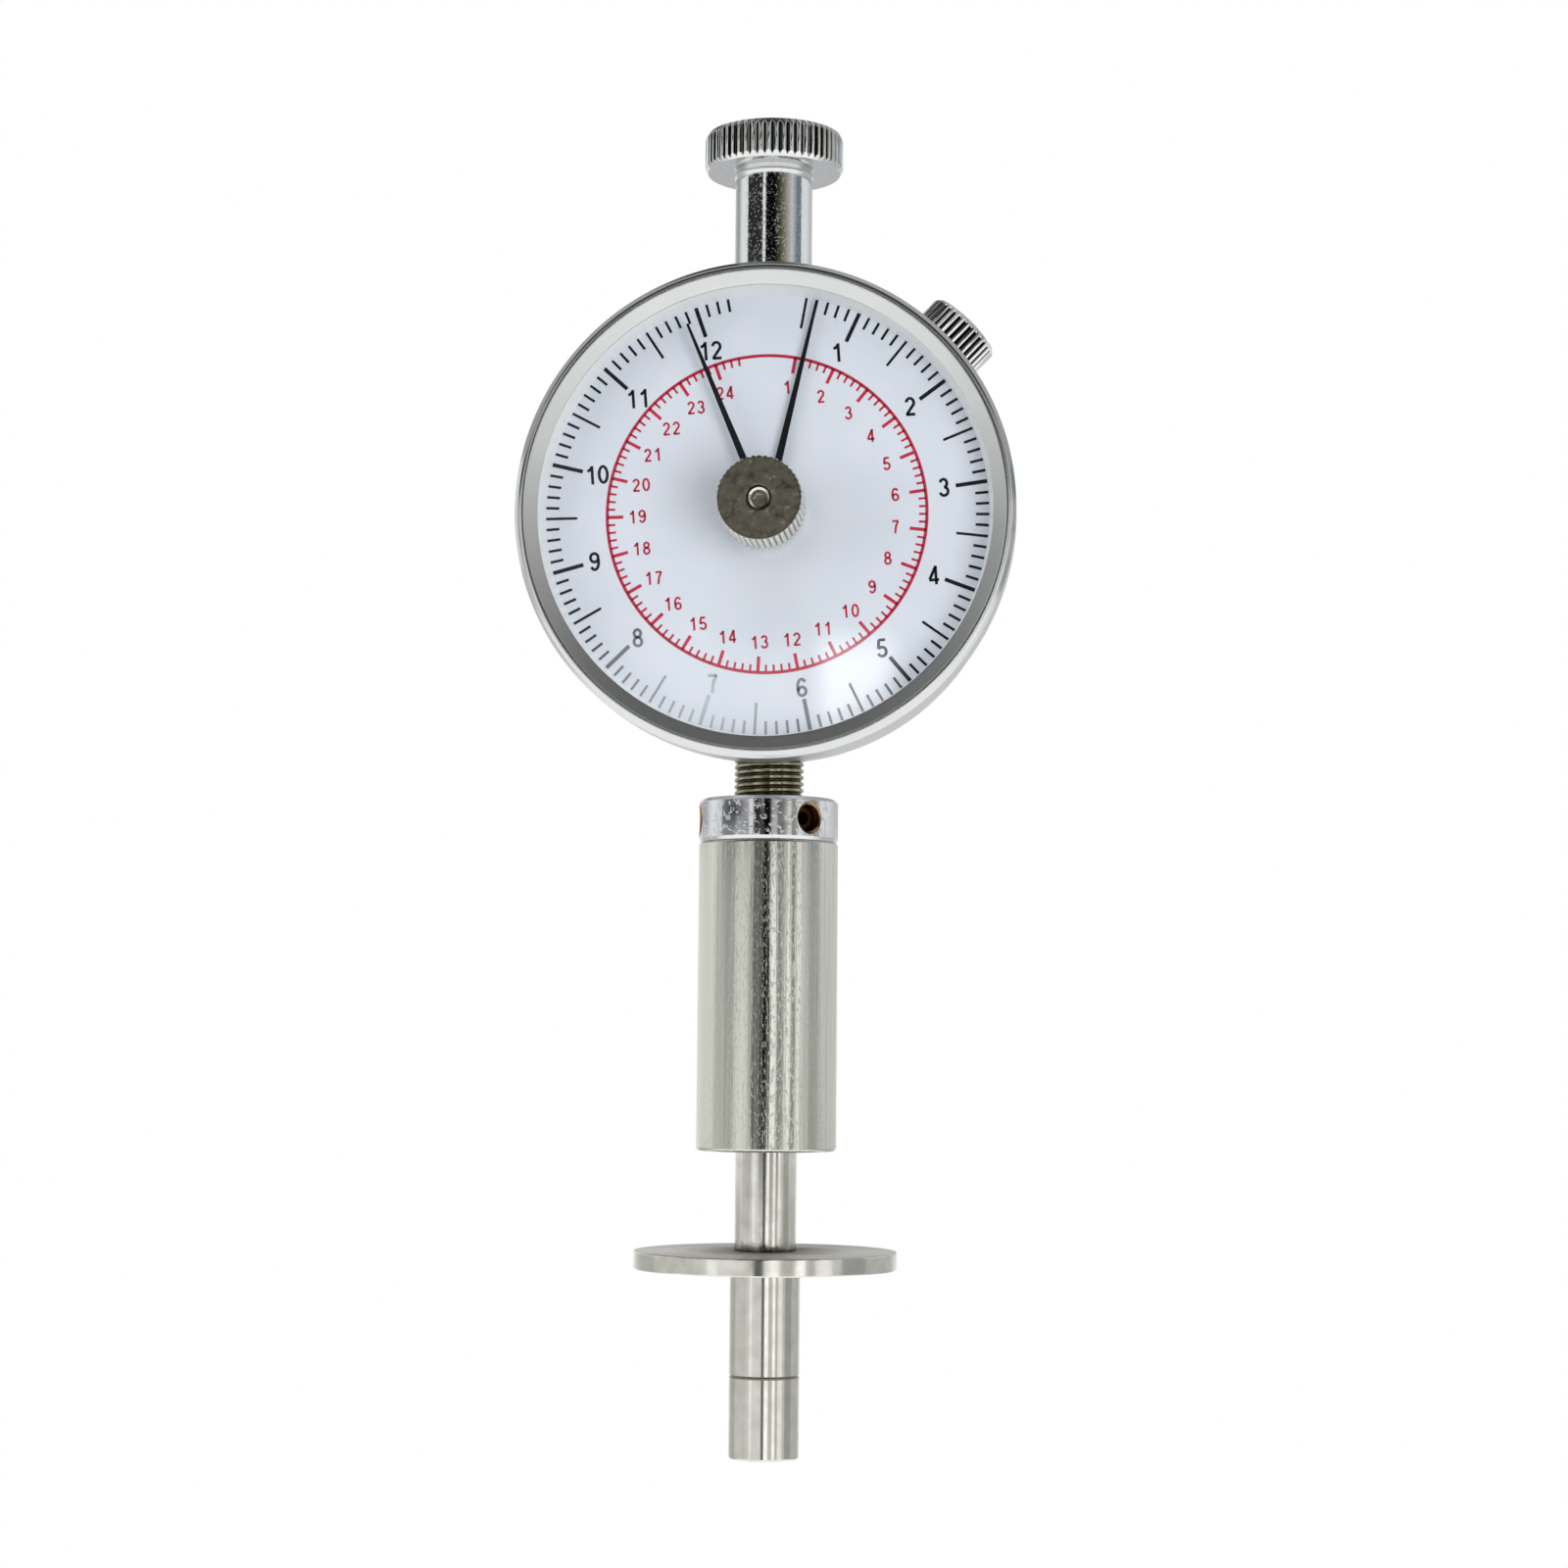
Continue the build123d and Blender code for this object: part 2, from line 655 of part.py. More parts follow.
def threaded_neck():
    """The neck that the sleeve and lock ring screw onto, with a spigot that goes into the case."""
    bore = spindle_bore / 2
    seat = guide_bush_diameter / 2 + FIT
    spigot_top = boss_inner_bottom
    return turned([
        (bore, sleeve_ceiling),
        (NECK_DIAMETER / 2, sleeve_ceiling),
        (NECK_DIAMETER / 2, neck_shoulder),
        (spigot_diameter / 2, neck_shoulder),
        (spigot_diameter / 2, spigot_top),
        (seat, spigot_top),
        (seat, spigot_top - GUIDE_BUSH_LENGTH),
        (bore, spigot_top - GUIDE_BUSH_LENGTH),
    ])


def guide_bush(bottom):
    return tube(SPINDLE_DIAMETER + 2 * RUN, guide_bush_diameter, bottom, bottom + GUIDE_BUSH_LENGTH)


def grub_places():
    """Frames on the lock ring's axis, with z pointing out through each screw hole."""
    middle = (sleeve_top + lock_ring_top) / 2
    places = []
    for index in range(GRUB_COUNT):
        turn = math.radians(GRUB_FIRST_ANGLE + index * 360 / GRUB_COUNT)
        outward = (math.sin(turn), -math.cos(turn), 0)
        places.append(Plane(origin=(0, 0, middle), x_dir=(0, 0, 1), z_dir=outward).location)
    return places


def lock_ring():
    radius = SLEEVE_DIAMETER / 2
    hole = NECK_DIAMETER / 2 + FIT
    body = turned([
        (hole, sleeve_top),
        (radius - LOCK_RING_EDGE, sleeve_top),
        (radius, sleeve_top + LOCK_RING_EDGE),
        (radius, lock_ring_top - LOCK_RING_EDGE),
        (radius - LOCK_RING_EDGE, lock_ring_top),
        (hole, lock_ring_top),
    ])
    for place in grub_places():
        body -= place * rod(GRUB_DIAMETER + 2 * FIT, 0, SLEEVE_DIAMETER)
    return body


def lock_ring_screws():
    """Grub screws with a hexagon socket, sunk in their holes."""
    inner = NECK_DIAMETER / 2 + FIT
    outer = inner + GRUB_LENGTH
    socket = extrude(RegularPolygon(GRUB_SOCKET / 2, 6, major_radius=False), GRUB_SOCKET_DEPTH, dir=(0, 0, 1))
    grub = rod(GRUB_DIAMETER, inner, outer) - Pos(0, 0, outer - GRUB_SOCKET_DEPTH) * socket
    return [place * grub for place in grub_places()]


def top_stem():
    """The tube that the spindle's upper end rises into."""
    seat = guide_bush_diameter / 2 + FIT
    bore = spindle_bore / 2
    bush_top = boss_inner_top + GUIDE_BUSH_LENGTH
    bore_top = top_knob_bottom - STEM_ROOF
    tip_top = top_knob_bottom + STEM_TIP_LENGTH
    return turned([
        (0, bore_top),
        (bore, bore_top),
        (bore, bush_top),
        (seat, bush_top),
        (seat, boss_inner_top),
        (spigot_diameter / 2, boss_inner_top),
        (spigot_diameter / 2, stem_foot),
        (STEM_DIAMETER / 2, stem_foot),
        (STEM_DIAMETER / 2, top_knob_bottom),
        (STEM_TIP_DIAMETER / 2, top_knob_bottom),
        (STEM_TIP_DIAMETER / 2, tip_top),
        (0, tip_top),
    ])


def top_knob():
    radius = TOP_KNOB_DIAMETER / 2
    envelope = turned([
        (0, top_knob_bottom),
        (radius - TOP_KNOB_EDGE, top_knob_bottom),
        (radius, top_knob_bottom + TOP_KNOB_EDGE),
        (radius, top_knob_top - TOP_KNOB_EDGE),
        (radius - TOP_KNOB_EDGE, top_knob_top),
        (0, top_knob_top),
    ])
    bar = knurled(TOP_KNOB_DIAMETER, TOP_KNOB_GROOVE, TOP_KNOB_TEETH, top_knob_bottom, top_knob_top)
    socket_top = top_knob_bottom + STEM_TIP_LENGTH + FIT
    return (bar & envelope) - rod(STEM_TIP_DIAMETER + 2 * FIT, top_knob_bottom, socket_top)


def lug_places():
    step = 360 / LUG_COUNT
    return [polar(lug_circle, step / 2 + step * index) for index in range(LUG_COUNT)]


def cover_screw_places():
    """Screw frames on the back cover's outer face, with z pointing out of it."""
    return [Pos(0, 0, cover_back) * place * Rot(180, 0, 0) for place in lug_places()]


def plate_screw_places():
    return [Pos(0, 0, plate_front) * polar(post_circle, angle) for angle in POST_ANGLES]


def case_body():
    """The cast ring, with bosses for stem, neck and clamp, lugs for the cover and posts for the plate."""
    groove = case_bore + wire_groove
    ring = turned([
        (case_bore, case_back),
        (case_radius - CASE_EDGE, case_back),
        (case_radius, case_back + CASE_EDGE),
        (case_radius, case_front),
        (case_bore, case_front),
        (case_bore, wire_depth + wire_groove),
        (groove, wire_depth + wire_groove),
        (groove, wire_depth - wire_groove),
        (case_bore, wire_depth - wire_groove),
    ])
    inside = rod(2 * case_bore + CASE_WALL, case_back, case_front)
    body = ring
    for place in lug_places():
        body += (place * rod(LUG_DIAMETER, case_back, case_back + LUG_LENGTH)) & inside
    for angle in POST_ANGLES:
        half = POST_DIAMETER / 2
        arm = block(post_circle, case_bore + CASE_WALL / 2, -half, half, -POST_ARM_DEPTH, boss_front)
        post = Pos(post_circle, 0, 0) * rod(POST_DIAMETER, -POST_ARM_DEPTH, plate_back)
        body += Rot(0, 0, angle) * (arm + post)
    half = INNER_BOSS_WIDTH / 2
    boss = block(-half, half, boss_reach, case_bore + CASE_WALL / 2, -INNER_BOSS_DEPTH, boss_front) & inside
    body += boss
    body += Rot(0, 0, 180) * boss
    body = DIAL * body
    wall_middle = case_radius - CASE_WALL / 2
    body += rod(STEM_DIAMETER + 2 * BOSS_MARGIN, dial_height + wall_middle, stem_foot)
    body += rod(NECK_DIAMETER + 2 * BOSS_MARGIN, neck_shoulder, dial_height - wall_middle)
    body += CLAMP * rod(CLAMP_BOSS_DIAMETER, wall_middle, case_radius + CLAMP_BOSS_HEIGHT)
    body -= rod(spigot_diameter + 2 * FIT, boss_inner_top - CLEAR, stem_foot + CLEAR)
    body -= rod(spigot_diameter + 2 * FIT, neck_shoulder - CLEAR, boss_inner_bottom + CLEAR)
    body -= CLAMP * rod(CLAMP_STUD_DIAMETER + 2 * CLEAR, skirt_bore, case_radius + 2 * CLAMP_BOSS_HEIGHT)
    for place in cover_screw_places():
        body -= DIAL * place * screw(FIT)
    for place in plate_screw_places():
        body -= DIAL * place * screw(FIT)
    return body


def back_cover():
    radius = case_radius - COVER_RIM
    body = turned([
        (0, cover_back),
        (radius - COVER_EDGE, cover_back),
        (radius, cover_back + COVER_EDGE),
        (radius, case_back),
        (0, case_back),
    ])
    for place in cover_screw_places():
        body -= place * screw(FIT)
    return DIAL * body


def back_cover_screws():
    return [DIAL * place * screw() for place in cover_screw_places()]


def pillar_places():
    return [Pos(cock_right - PILLAR_DIAMETER / 2, side * PILLAR_SPREAD, 0) for side in (-1, 1)]


def cock_screw_places():
    return [place * Pos(0, 0, cock_back) * Rot(180, 0, 0) for place in pillar_places()]


def fork_block():
    """Left and right faces of the fork, and the ends of its slot, in the dial's frame."""
    low = guide_pin_height - GUIDE_PIN_DIAMETER / 2 - 2 * CLEAR
    return fork_left, fork_left + FORK_THICKNESS, low, fork_top - FORK_END_WALL


def fork_screw_places():
    left, right, low, high = fork_block()
    third = (high - low) / 3
    return [Pos((left + right) / 2, height, plate_front) for height in (low + third / 2, high - third / 2)]


def movement_plate():
    body = rod(2 * plate_radius, plate_back, plate_front)
    body -= rod(FRONT_BUSH_DIAMETER + 2 * FIT, plate_back, plate_front)
    for place in plate_screw_places():
        body -= place * screw(FIT)
    for place in fork_screw_places():
        body -= place * small_screw(FIT)
    return DIAL * body


def movement_screws():
    return [DIAL * place * screw() for place in plate_screw_places()]


def arbour_cock():
    """The bridge that holds the arbour's rear pivot, between the pinion and the spindle."""
    body = block(-COCK_EDGE, cock_right, -cock_half_height, cock_half_height, cock_back, cock_front)
    body -= rod(REAR_BUSH_DIAMETER + 2 * FIT, cock_back, cock_front)
    for place in cock_screw_places():
        body -= place * small_screw(FIT)
    return DIAL * body


def cock_pillars():
    pillars = []
    for place, hole in zip(pillar_places(), cock_screw_places()):
        pillar = place * rod(PILLAR_DIAMETER, cock_front, plate_back)
        pillars.append(DIAL * (pillar - hole * small_screw(FIT)))
    return pillars


def cock_screws():
    return [DIAL * place * small_screw() for place in cock_screw_places()]


def arbour_bushes():
    front = tube(JOURNAL_DIAMETER + 2 * RUN, FRONT_BUSH_DIAMETER, plate_back, plate_front)
    rear = tube(PIVOT_DIAMETER + 2 * RUN, REAR_BUSH_DIAMETER, cock_back, cock_front)
    return [DIAL * front, DIAL * rear]


def guide_fork():
    """A slotted block behind the plate that keeps the guide pin, and so the spindle, from turning."""
    left, right, low, high = fork_block()
    slot = GUIDE_PIN_DIAMETER / 2 + RUN
    body = block(left, right, low - FORK_END_WALL, high + FORK_END_WALL, -FORK_DEPTH_BEHIND, plate_back)
    body -= block(left, right, low, high, -slot, slot)
    for place in fork_screw_places():
        body -= place * small_screw(FIT)
    return DIAL * body


def fork_screws():
    return [DIAL * place * small_screw() for place in fork_screw_places()]


def bezel():
    body = turned([
        (bezel_bore, carrier_back),
        (BEZEL_RADIUS, carrier_back),
        (BEZEL_RADIUS, bezel_front),
        (bezel_mouth, bezel_front),
        (lip_radius, crystal_front),
        (bezel_bore, crystal_front),
    ])
    front = body.edges().group_by(Axis.Z)[-1]
    return DIAL * fillet(front, BEZEL_EDGE)


def crystal():
    return DIAL * tube(CRYSTAL_BUSH_DIAMETER + 2 * FIT, 2 * (bezel_bore - FIT), crystal_back, crystal_front)


def dial_ring():
    """The sloping ring that spaces the crystal from the dial."""
    outer = bezel_bore - FIT
    return DIAL * turned([
        (dial_showing, dial_front),
        (outer, dial_front),
        (outer, crystal_back),
        (slope_top, crystal_back),
    ])


def dial_plate():
    return DIAL * tube(DIAL_HOLE, 2 * (bezel_bore - FIT), dial_back, dial_front)


def dial_carrier():
    """The ring pressed into the bezel from behind; its skirt turns inside the case."""
    groove = skirt_radius - wire_groove
    return DIAL * turned([
        (skirt_bore, skirt_back),
        (skirt_radius, skirt_back),
        (skirt_radius, wire_depth - wire_groove),
        (groove, wire_depth - wire_groove),
        (groove, wire_depth + wire_groove),
        (skirt_radius, wire_depth + wire_groove),
        (skirt_radius, carrier_back),
        (bezel_bore - FIT, carrier_back),
        (bezel_bore - FIT, dial_back),
        (skirt_bore, dial_back),
    ])


def bezel_wire():
    """An open spring ring that lies half in the case's groove and half in the skirt's."""
    section = Pos(case_bore, 0, wire_depth) * Rot(90, 0, 0) * Rectangle(WIRE_THICKNESS, WIRE_THICKNESS)
    return DIAL * Rot(0, 0, 90 - WIRE_ARC / 2 + 180) * revolve(section, Axis.Z, WIRE_ARC)


def crystal_bush():
    bore = RESET_SHAFT_DIAMETER / 2 + RUN
    return DIAL * turned([
        (bore, crystal_back - CRYSTAL_BUSH_RIM),
        (CRYSTAL_BUSH_RIVET / 2, crystal_back - CRYSTAL_BUSH_RIM),
        (CRYSTAL_BUSH_RIVET / 2, crystal_back),
        (CRYSTAL_BUSH_DIAMETER / 2, crystal_back),
        (CRYSTAL_BUSH_DIAMETER / 2, crystal_front),
        (CRYSTAL_BUSH_FLANGE / 2, crystal_front),
        (CRYSTAL_BUSH_FLANGE / 2, bush_front),
        (bore, bush_front),
    ])


def reset_shaft():
    """The shaft through the crystal, with a spigot for the peak pointer and a tapped end for the knob."""
    tapped = KNOB_SCREW_SHANK / 2 + FIT
    tapped_floor = screw_seat - KNOB_SCREW_LENGTH - FIT
    return DIAL * turned([
        (0, peak_pointer_back),
        (RESET_SPIGOT / 2, peak_pointer_back),
        (RESET_SPIGOT / 2, peak_pointer_front),
        (RESET_COLLAR_DIAMETER / 2, peak_pointer_front),
        (RESET_COLLAR_DIAMETER / 2, collar_front),
        (RESET_SHAFT_DIAMETER / 2, collar_front),
        (RESET_SHAFT_DIAMETER / 2, shaft_front),
        (tapped, shaft_front),
        (tapped, tapped_floor),
        (0, tapped_floor),
    ])


def friction_washer():
    outer = CRYSTAL_BUSH_FLANGE - 2 * WASHER_MARGIN
    return DIAL * tube(RESET_SHAFT_DIAMETER + 2 * RUN, outer, washer_back, recess_floor)


def reset_knob():
    radius = RESET_KNOB_DIAMETER / 2
    envelope = turned([
        (0, reset_knob_back),
        (radius - RESET_KNOB_EDGE, reset_knob_back),
        (radius, reset_knob_back + RESET_KNOB_EDGE),
        (radius, reset_knob_front - RESET_KNOB_EDGE),
        (radius - RESET_KNOB_EDGE, reset_knob_front),
        (0, reset_knob_front),
    ])
    bar = knurled(RESET_KNOB_DIAMETER, RESET_KNOB_GROOVE, RESET_KNOB_TEETH, reset_knob_back, reset_knob_front)
    body = bar & envelope
    body -= rod(CRYSTAL_BUSH_FLANGE + 2 * KNOB_RECESS_GAP, reset_knob_back, recess_floor)
    body -= rod(RESET_SHAFT_DIAMETER + 2 * FIT, recess_floor, shaft_front)
    body -= rod(KNOB_SCREW_SHANK + 2 * FIT, shaft_front, screw_seat)
    body -= rod(KNOB_SCREW_HEAD + 2 * CLEAR, screw_seat, reset_knob_front)
    return DIAL * body


def knob_screw():
    return DIAL * turned([
        (0, screw_seat - KNOB_SCREW_LENGTH),
        (KNOB_SCREW_SHANK / 2, screw_seat - KNOB_SCREW_LENGTH),
        (KNOB_SCREW_SHANK / 2, screw_seat),
        (KNOB_SCREW_HEAD / 2, screw_seat),
        (KNOB_SCREW_HEAD / 2, screw_seat + KNOB_SCREW_HEIGHT),
        (0, screw_seat + KNOB_SCREW_HEIGHT),
    ])


def clamp_knob():
    """A knurled nut with a domed end, which turns on the clamp's boss and draws the claw's stud outwards."""
    radius = CLAMP_KNOB_DIAMETER / 2
    shoulder = clamp_knob_foot + CLAMP_KNOB_LENGTH
    crown = shoulder + CLAMP_KNOB_DOME
    dome_rim = radius - CLAMP_KNOB_EDGE
    side = Polyline(
        (0, 0, crown),
        (0, 0, clamp_knob_foot),
        (dome_rim, 0, clamp_knob_foot),
        (radius, 0, clamp_knob_foot + CLAMP_KNOB_EDGE),
        (radius, 0, shoulder - CLAMP_KNOB_EDGE),
        (dome_rim, 0, shoulder),
    )
    dome = TangentArc((0, 0, crown), (dome_rim, 0, shoulder), tangent=(1, 0, 0))
    envelope = revolve(make_face([*side.edges(), *dome.edges()]), Axis.Z)
    bar = knurled(CLAMP_KNOB_DIAMETER, CLAMP_KNOB_GROOVE, CLAMP_KNOB_TEETH, clamp_knob_foot, crown)
    hole_end = clamp_stud_end + CLAW_TRAVEL + CLEAR
    return CLAMP * ((bar & envelope) - rod(CLAMP_STUD_DIAMETER + 2 * RUN, clamp_knob_foot, hole_end))


def clamp_claw():
    """The stud and its claw, whose nose lies under the dial carrier's skirt."""
    nose_top = skirt_bore - CLAW_END_GAP - CLAW_TRAVEL
    back_top = nose_top - CLAW_NOSE
    bottom = back_top - CLAW_THICKNESS
    nose_front = skirt_back + CLAW_NOSE_LENGTH
    nose_back = skirt_back + FIT
    shell = tube(2 * bottom, 2 * back_top, -CLAW_DEPTH_BEHIND, nose_back)
    shell += tube(2 * bottom, 2 * nose_top, nose_back, nose_front)
    half = CLAW_WIDTH / 2
    reach = block(-half, half, 0, case_radius, -CLAW_DEPTH_BEHIND, nose_front)
    head = DIAL * (shell & Rot(0, 0, -CLAMP_ANGLE) * reach)
    return head + CLAMP * rod(CLAMP_STUD_DIAMETER, (bottom + back_top) / 2, clamp_stud_end)


PIECES = {
    "pressing_head": pressing_head,
    "splash_disc": splash_disc,
    "plunger": plunger,
    "spindle_rod": spindle_rod,
    "guide_pin": guide_pin,
    "rack": rack,
    "rack_screws": rack_screws,
    "pinion_arbour": pinion_arbour,
    "pointer_hub": pointer_hub,
    "drive_pointer": drive_pointer,
    "peak_pointer": peak_pointer,
    "sleeve_bush": sleeve_bush,
    "spring_sleeve": spring_sleeve,
    "spring_seat": spring_seat,
    "main_spring": main_spring,
    "threaded_neck": threaded_neck,
    "neck_bush": lambda: guide_bush(boss_inner_bottom - GUIDE_BUSH_LENGTH),
    "lock_ring": lock_ring,
    "lock_ring_screws": lock_ring_screws,
    "top_stem": top_stem,
    "stem_bush": lambda: guide_bush(boss_inner_top),
    "top_knob": top_knob,
    "case_body": case_body,
    "back_cover": back_cover,
    "back_cover_screws": back_cover_screws,
    "movement_plate": movement_plate,
    "movement_screws": movement_screws,
    "arbour_cock": arbour_cock,
    "cock_pillars": cock_pillars,
    "cock_screws": cock_screws,
    "arbour_bushes": arbour_bushes,
    "guide_fork": guide_fork,
    "fork_screws": fork_screws,
    "bezel": bezel,
    "crystal": crystal,
    "dial_ring": dial_ring,
    "dial_plate": dial_plate,
    "dial_carrier": dial_carrier,
    "bezel_wire": bezel_wire,
    "crystal_bush": crystal_bush,
    "reset_shaft": reset_shaft,
    "friction_washer": friction_washer,
    "reset_knob": reset_knob,
    "knob_screw": knob_screw,
    "clamp_knob": clamp_knob,
    "clamp_claw": clamp_claw,
}

os.makedirs("parts", exist_ok=True)
for name, make in PIECES.items():
    piece = make()
    if isinstance(piece, list):
        piece = Compound(children=piece)
    export_step(piece, f"parts/{name}.step")
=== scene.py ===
import math

import bmesh
import bpy
from mathutils import Matrix, Vector


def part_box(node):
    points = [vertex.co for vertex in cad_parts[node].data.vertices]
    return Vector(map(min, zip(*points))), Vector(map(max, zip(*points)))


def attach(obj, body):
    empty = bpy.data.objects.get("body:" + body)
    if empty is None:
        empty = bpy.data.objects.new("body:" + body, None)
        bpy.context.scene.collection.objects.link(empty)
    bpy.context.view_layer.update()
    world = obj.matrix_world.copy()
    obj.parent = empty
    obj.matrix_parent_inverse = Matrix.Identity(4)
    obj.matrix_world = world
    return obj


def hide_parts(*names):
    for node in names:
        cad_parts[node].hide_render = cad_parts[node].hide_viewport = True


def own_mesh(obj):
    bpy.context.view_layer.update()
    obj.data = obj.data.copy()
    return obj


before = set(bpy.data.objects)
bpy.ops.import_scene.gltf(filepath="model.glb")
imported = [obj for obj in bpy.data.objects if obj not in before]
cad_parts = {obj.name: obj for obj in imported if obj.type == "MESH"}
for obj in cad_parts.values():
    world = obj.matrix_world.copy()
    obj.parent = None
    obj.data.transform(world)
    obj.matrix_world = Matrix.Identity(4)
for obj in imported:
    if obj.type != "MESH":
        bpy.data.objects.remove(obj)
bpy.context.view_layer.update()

# Case: the cast ring that carries the works, with bosses for the stem, the neck and the clamp.
# It is turned all round and plated in satin chrome, so the light is drawn out along fine turning lines.
MM = 0.001
dial_low, dial_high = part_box("dial_plate")
DIAL_HEIGHT = (dial_low.z + dial_high.z) / 2
FACE = Matrix.Translation((0, 0, DIAL_HEIGHT)) @ Matrix.Rotation(math.radians(90), 4, "X")
UPRIGHT = Matrix.Identity(4)
SHARP_EDGE = math.radians(28)
WELD = 0.0005
# Nearly all of a noise pattern lies between these two.
NOISE_LOW = 0.3
NOISE_HIGH = 0.7


def linear(code):
    """An sRGB hex colour as linear red, green, blue and alpha."""
    values = [int(code[start:start + 2], 16) / 255 for start in (0, 2, 4)]
    return [v / 12.92 if v <= 0.04045 else ((v + 0.055) / 1.055) ** 2.4 for v in values] + [1.0]


def wire(target, inputs):
    """Sets a node's inputs, each to a value, a hex colour, a socket, or a node's first live output."""
    for key, value in inputs.items():
        if isinstance(value, bpy.types.Node):
            value = next(output for output in value.outputs if output.enabled)
        if isinstance(value, bpy.types.NodeSocket):
            target.id_data.links.new(value, target.inputs[key])
        else:
            target.inputs[key].default_value = linear(value) if isinstance(value, str) else value


def node(tree, kind, *inputs, **settings):
    """Adds a node with its settings; its inputs come in the sockets' order, or as one dictionary."""
    made = tree.nodes.new(kind if "Node" in kind else "ShaderNode" + kind)
    for name, value in settings.items():
        setattr(made, name, value)
    wire(made, inputs[0] if inputs and isinstance(inputs[0], dict) else dict(enumerate(inputs)))
    return made


def start_material(name, **sockets):
    """A material with one Principled shader; what is the same all over is set on the shader's own sockets."""
    made = bpy.data.materials.new(name)
    made.use_nodes = True
    shader = made.node_tree.nodes["Principled BSDF"]
    wire(shader, {socket.replace("_", " "): value for socket, value in sockets.items()})
    return made, made.node_tree, shader


def lathe_place(tree, lathe):
    """The distance from a turned piece's axis and the way along it, in the frame that it was turned in."""
    inverse = lathe.inverted()
    place = node(tree, "TexCoord").outputs["Object"]
    apart = node(tree, "SeparateXYZ", node(tree, "Mapping", place, inverse.translation, inverse.to_euler()))
    flat = node(tree, "CombineXYZ", apart.outputs["X"], apart.outputs["Y"])
    return node(tree, "VectorMath", flat, operation="LENGTH"), apart.outputs["Z"]


def turning_lines(tree, spacing, lathe):
    """Rings round a turned piece's axis, their spacing in millimetres. A tool's real marks are too fine to
    show, so they are drawn a few times coarser."""
    section = node(tree, "CombineXYZ", *lathe_place(tree, lathe))
    settings = {"Vector": section, "Scale": 1 / (spacing * MM), "Detail": 3.0}
    return node(tree, "TexNoise", settings, noise_dimensions="2D")


def blotches(tree, size, detail):
    """Soft uneven patches of a given size in millimetres."""
    place = node(tree, "TexCoord").outputs["Object"]
    return node(tree, "TexNoise", {"Vector": place, "Scale": 1 / (size * MM), "Detail": detail})


def coat(shader, colour, roughness=None, relief=None, cover=None):
    """A surface that follows patterns. Each comes with its two ends: the dark and the light colour, the two
    roughnesses, or a bump's strength and its depth in millimetres. A cover is a share and the colour that
    lies over the rest by that share."""
    tree = shader.id_data
    pattern, dark, light = colour
    inputs = {"Base Color": node(tree, "Mix", {0: pattern, 6: dark, 7: light}, data_type="RGBA")}
    if cover:
        mixed = {0: cover[0], 6: inputs["Base Color"], 7: cover[1]}
        inputs["Base Color"] = node(tree, "Mix", mixed, data_type="RGBA")
    if roughness:
        pattern, first, last = roughness
        inputs["Roughness"] = node(tree, "MapRange", pattern, NOISE_LOW, NOISE_HIGH, first, last)
    if relief:
        pattern, strength, depth = relief
        bump = {"Height": pattern, "Strength": strength, "Distance": depth * MM}
        inputs["Normal"] = node(tree, "Bump", bump)
    wire(shader, inputs)


def satin_chrome(name, lathe, metallic=0.88, roughness=(0.33, 0.41)):
    """Satin chrome on turned brass: pale, even and half matt, with faint rings a quarter millimetre wide."""
    made, tree, shader = start_material(name, Metallic=metallic)
    lines = turning_lines(tree, spacing=0.25, lathe=lathe)
    clouds = blotches(tree, size=6.0, detail=2.0)
    coat(shader, colour=(clouds, "d2d4d5", "dcddde"), roughness=(lines, *roughness),
         relief=(lines, 0.05, 0.01))
    return made


def new_piece(name, mesh, material):
    """An object at the origin for a mesh that already holds its place."""
    mesh.name = name
    mesh.materials.clear()
    mesh.materials.append(material)
    piece = bpy.data.objects.new(name, mesh)
    bpy.context.scene.collection.objects.link(piece)
    return piece


def smooth(mesh):
    """Rounds the shading, but keeps the true edges sharp."""
    mesh.shade_smooth()
    mesh.set_sharp_from_angle(angle=SHARP_EDGE)


def finer_copy(name, solid, material):
    """A copy of a CAD solid with its triangles joined and its curved walls shaded round."""
    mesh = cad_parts[solid].data.copy()
    own_normals = mesh.attributes.get("custom_normal")
    if own_normals:
        mesh.attributes.remove(own_normals)
    shell = bmesh.new()
    shell.from_mesh(mesh)
    bmesh.ops.remove_doubles(shell, verts=shell.verts, dist=WELD * MM)
    shell.to_mesh(mesh)
    shell.free()
    smooth(mesh)
    return new_piece(name, mesh, material)


def fit(piece, body, slot, *solids):
    """Rides a piece on its body, in place of the CAD solids it stands for."""
    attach(piece, body)
    if solids:
        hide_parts(*solids)


case_chrome = satin_chrome("satin_chrome", FACE)
case_shell = finer_copy("case_shell", "case_body", case_chrome)
fit(case_shell, "case", "satin_silver", "case_body")

# Back cover: a turned brass plate in the same satin chrome, let into the case's rim from behind.
# Four countersunk steel screws with plain slots hold it to the lugs of the case.
COVER_SCREW_COUNT = 4
COVER_SCREW_FIRST = 45
COVER_SCREW_CIRCLE = 22.5
COVER_SCREW_HEAD = 1.6
COVER_SCREW_EDGE = 0.08
COVER_SCREW_SHANK = 0.75
COVER_SCREW_SINK = 0.85
COVER_SCREW_LENGTH = 4.5
COVER_SCREW_TIP = 0.2
SLOT_WIDTH = 0.45
SLOT_DEPTH = 0.4
SLOT_TURN = 25
ARC_STEPS = 5
HOLD = 0.03
TINY = 1e-6


def measured(solid, lathe=UPRIGHT):
    """A turned solid's radius and its two ends along the axis that it was turned on, in millimetres."""
    low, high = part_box(solid)
    first, last = (-high.y, -low.y) if lathe is FACE else (low.z, high.z)
    return (high.x - low.x) / 2 / MM, first / MM, last / MM


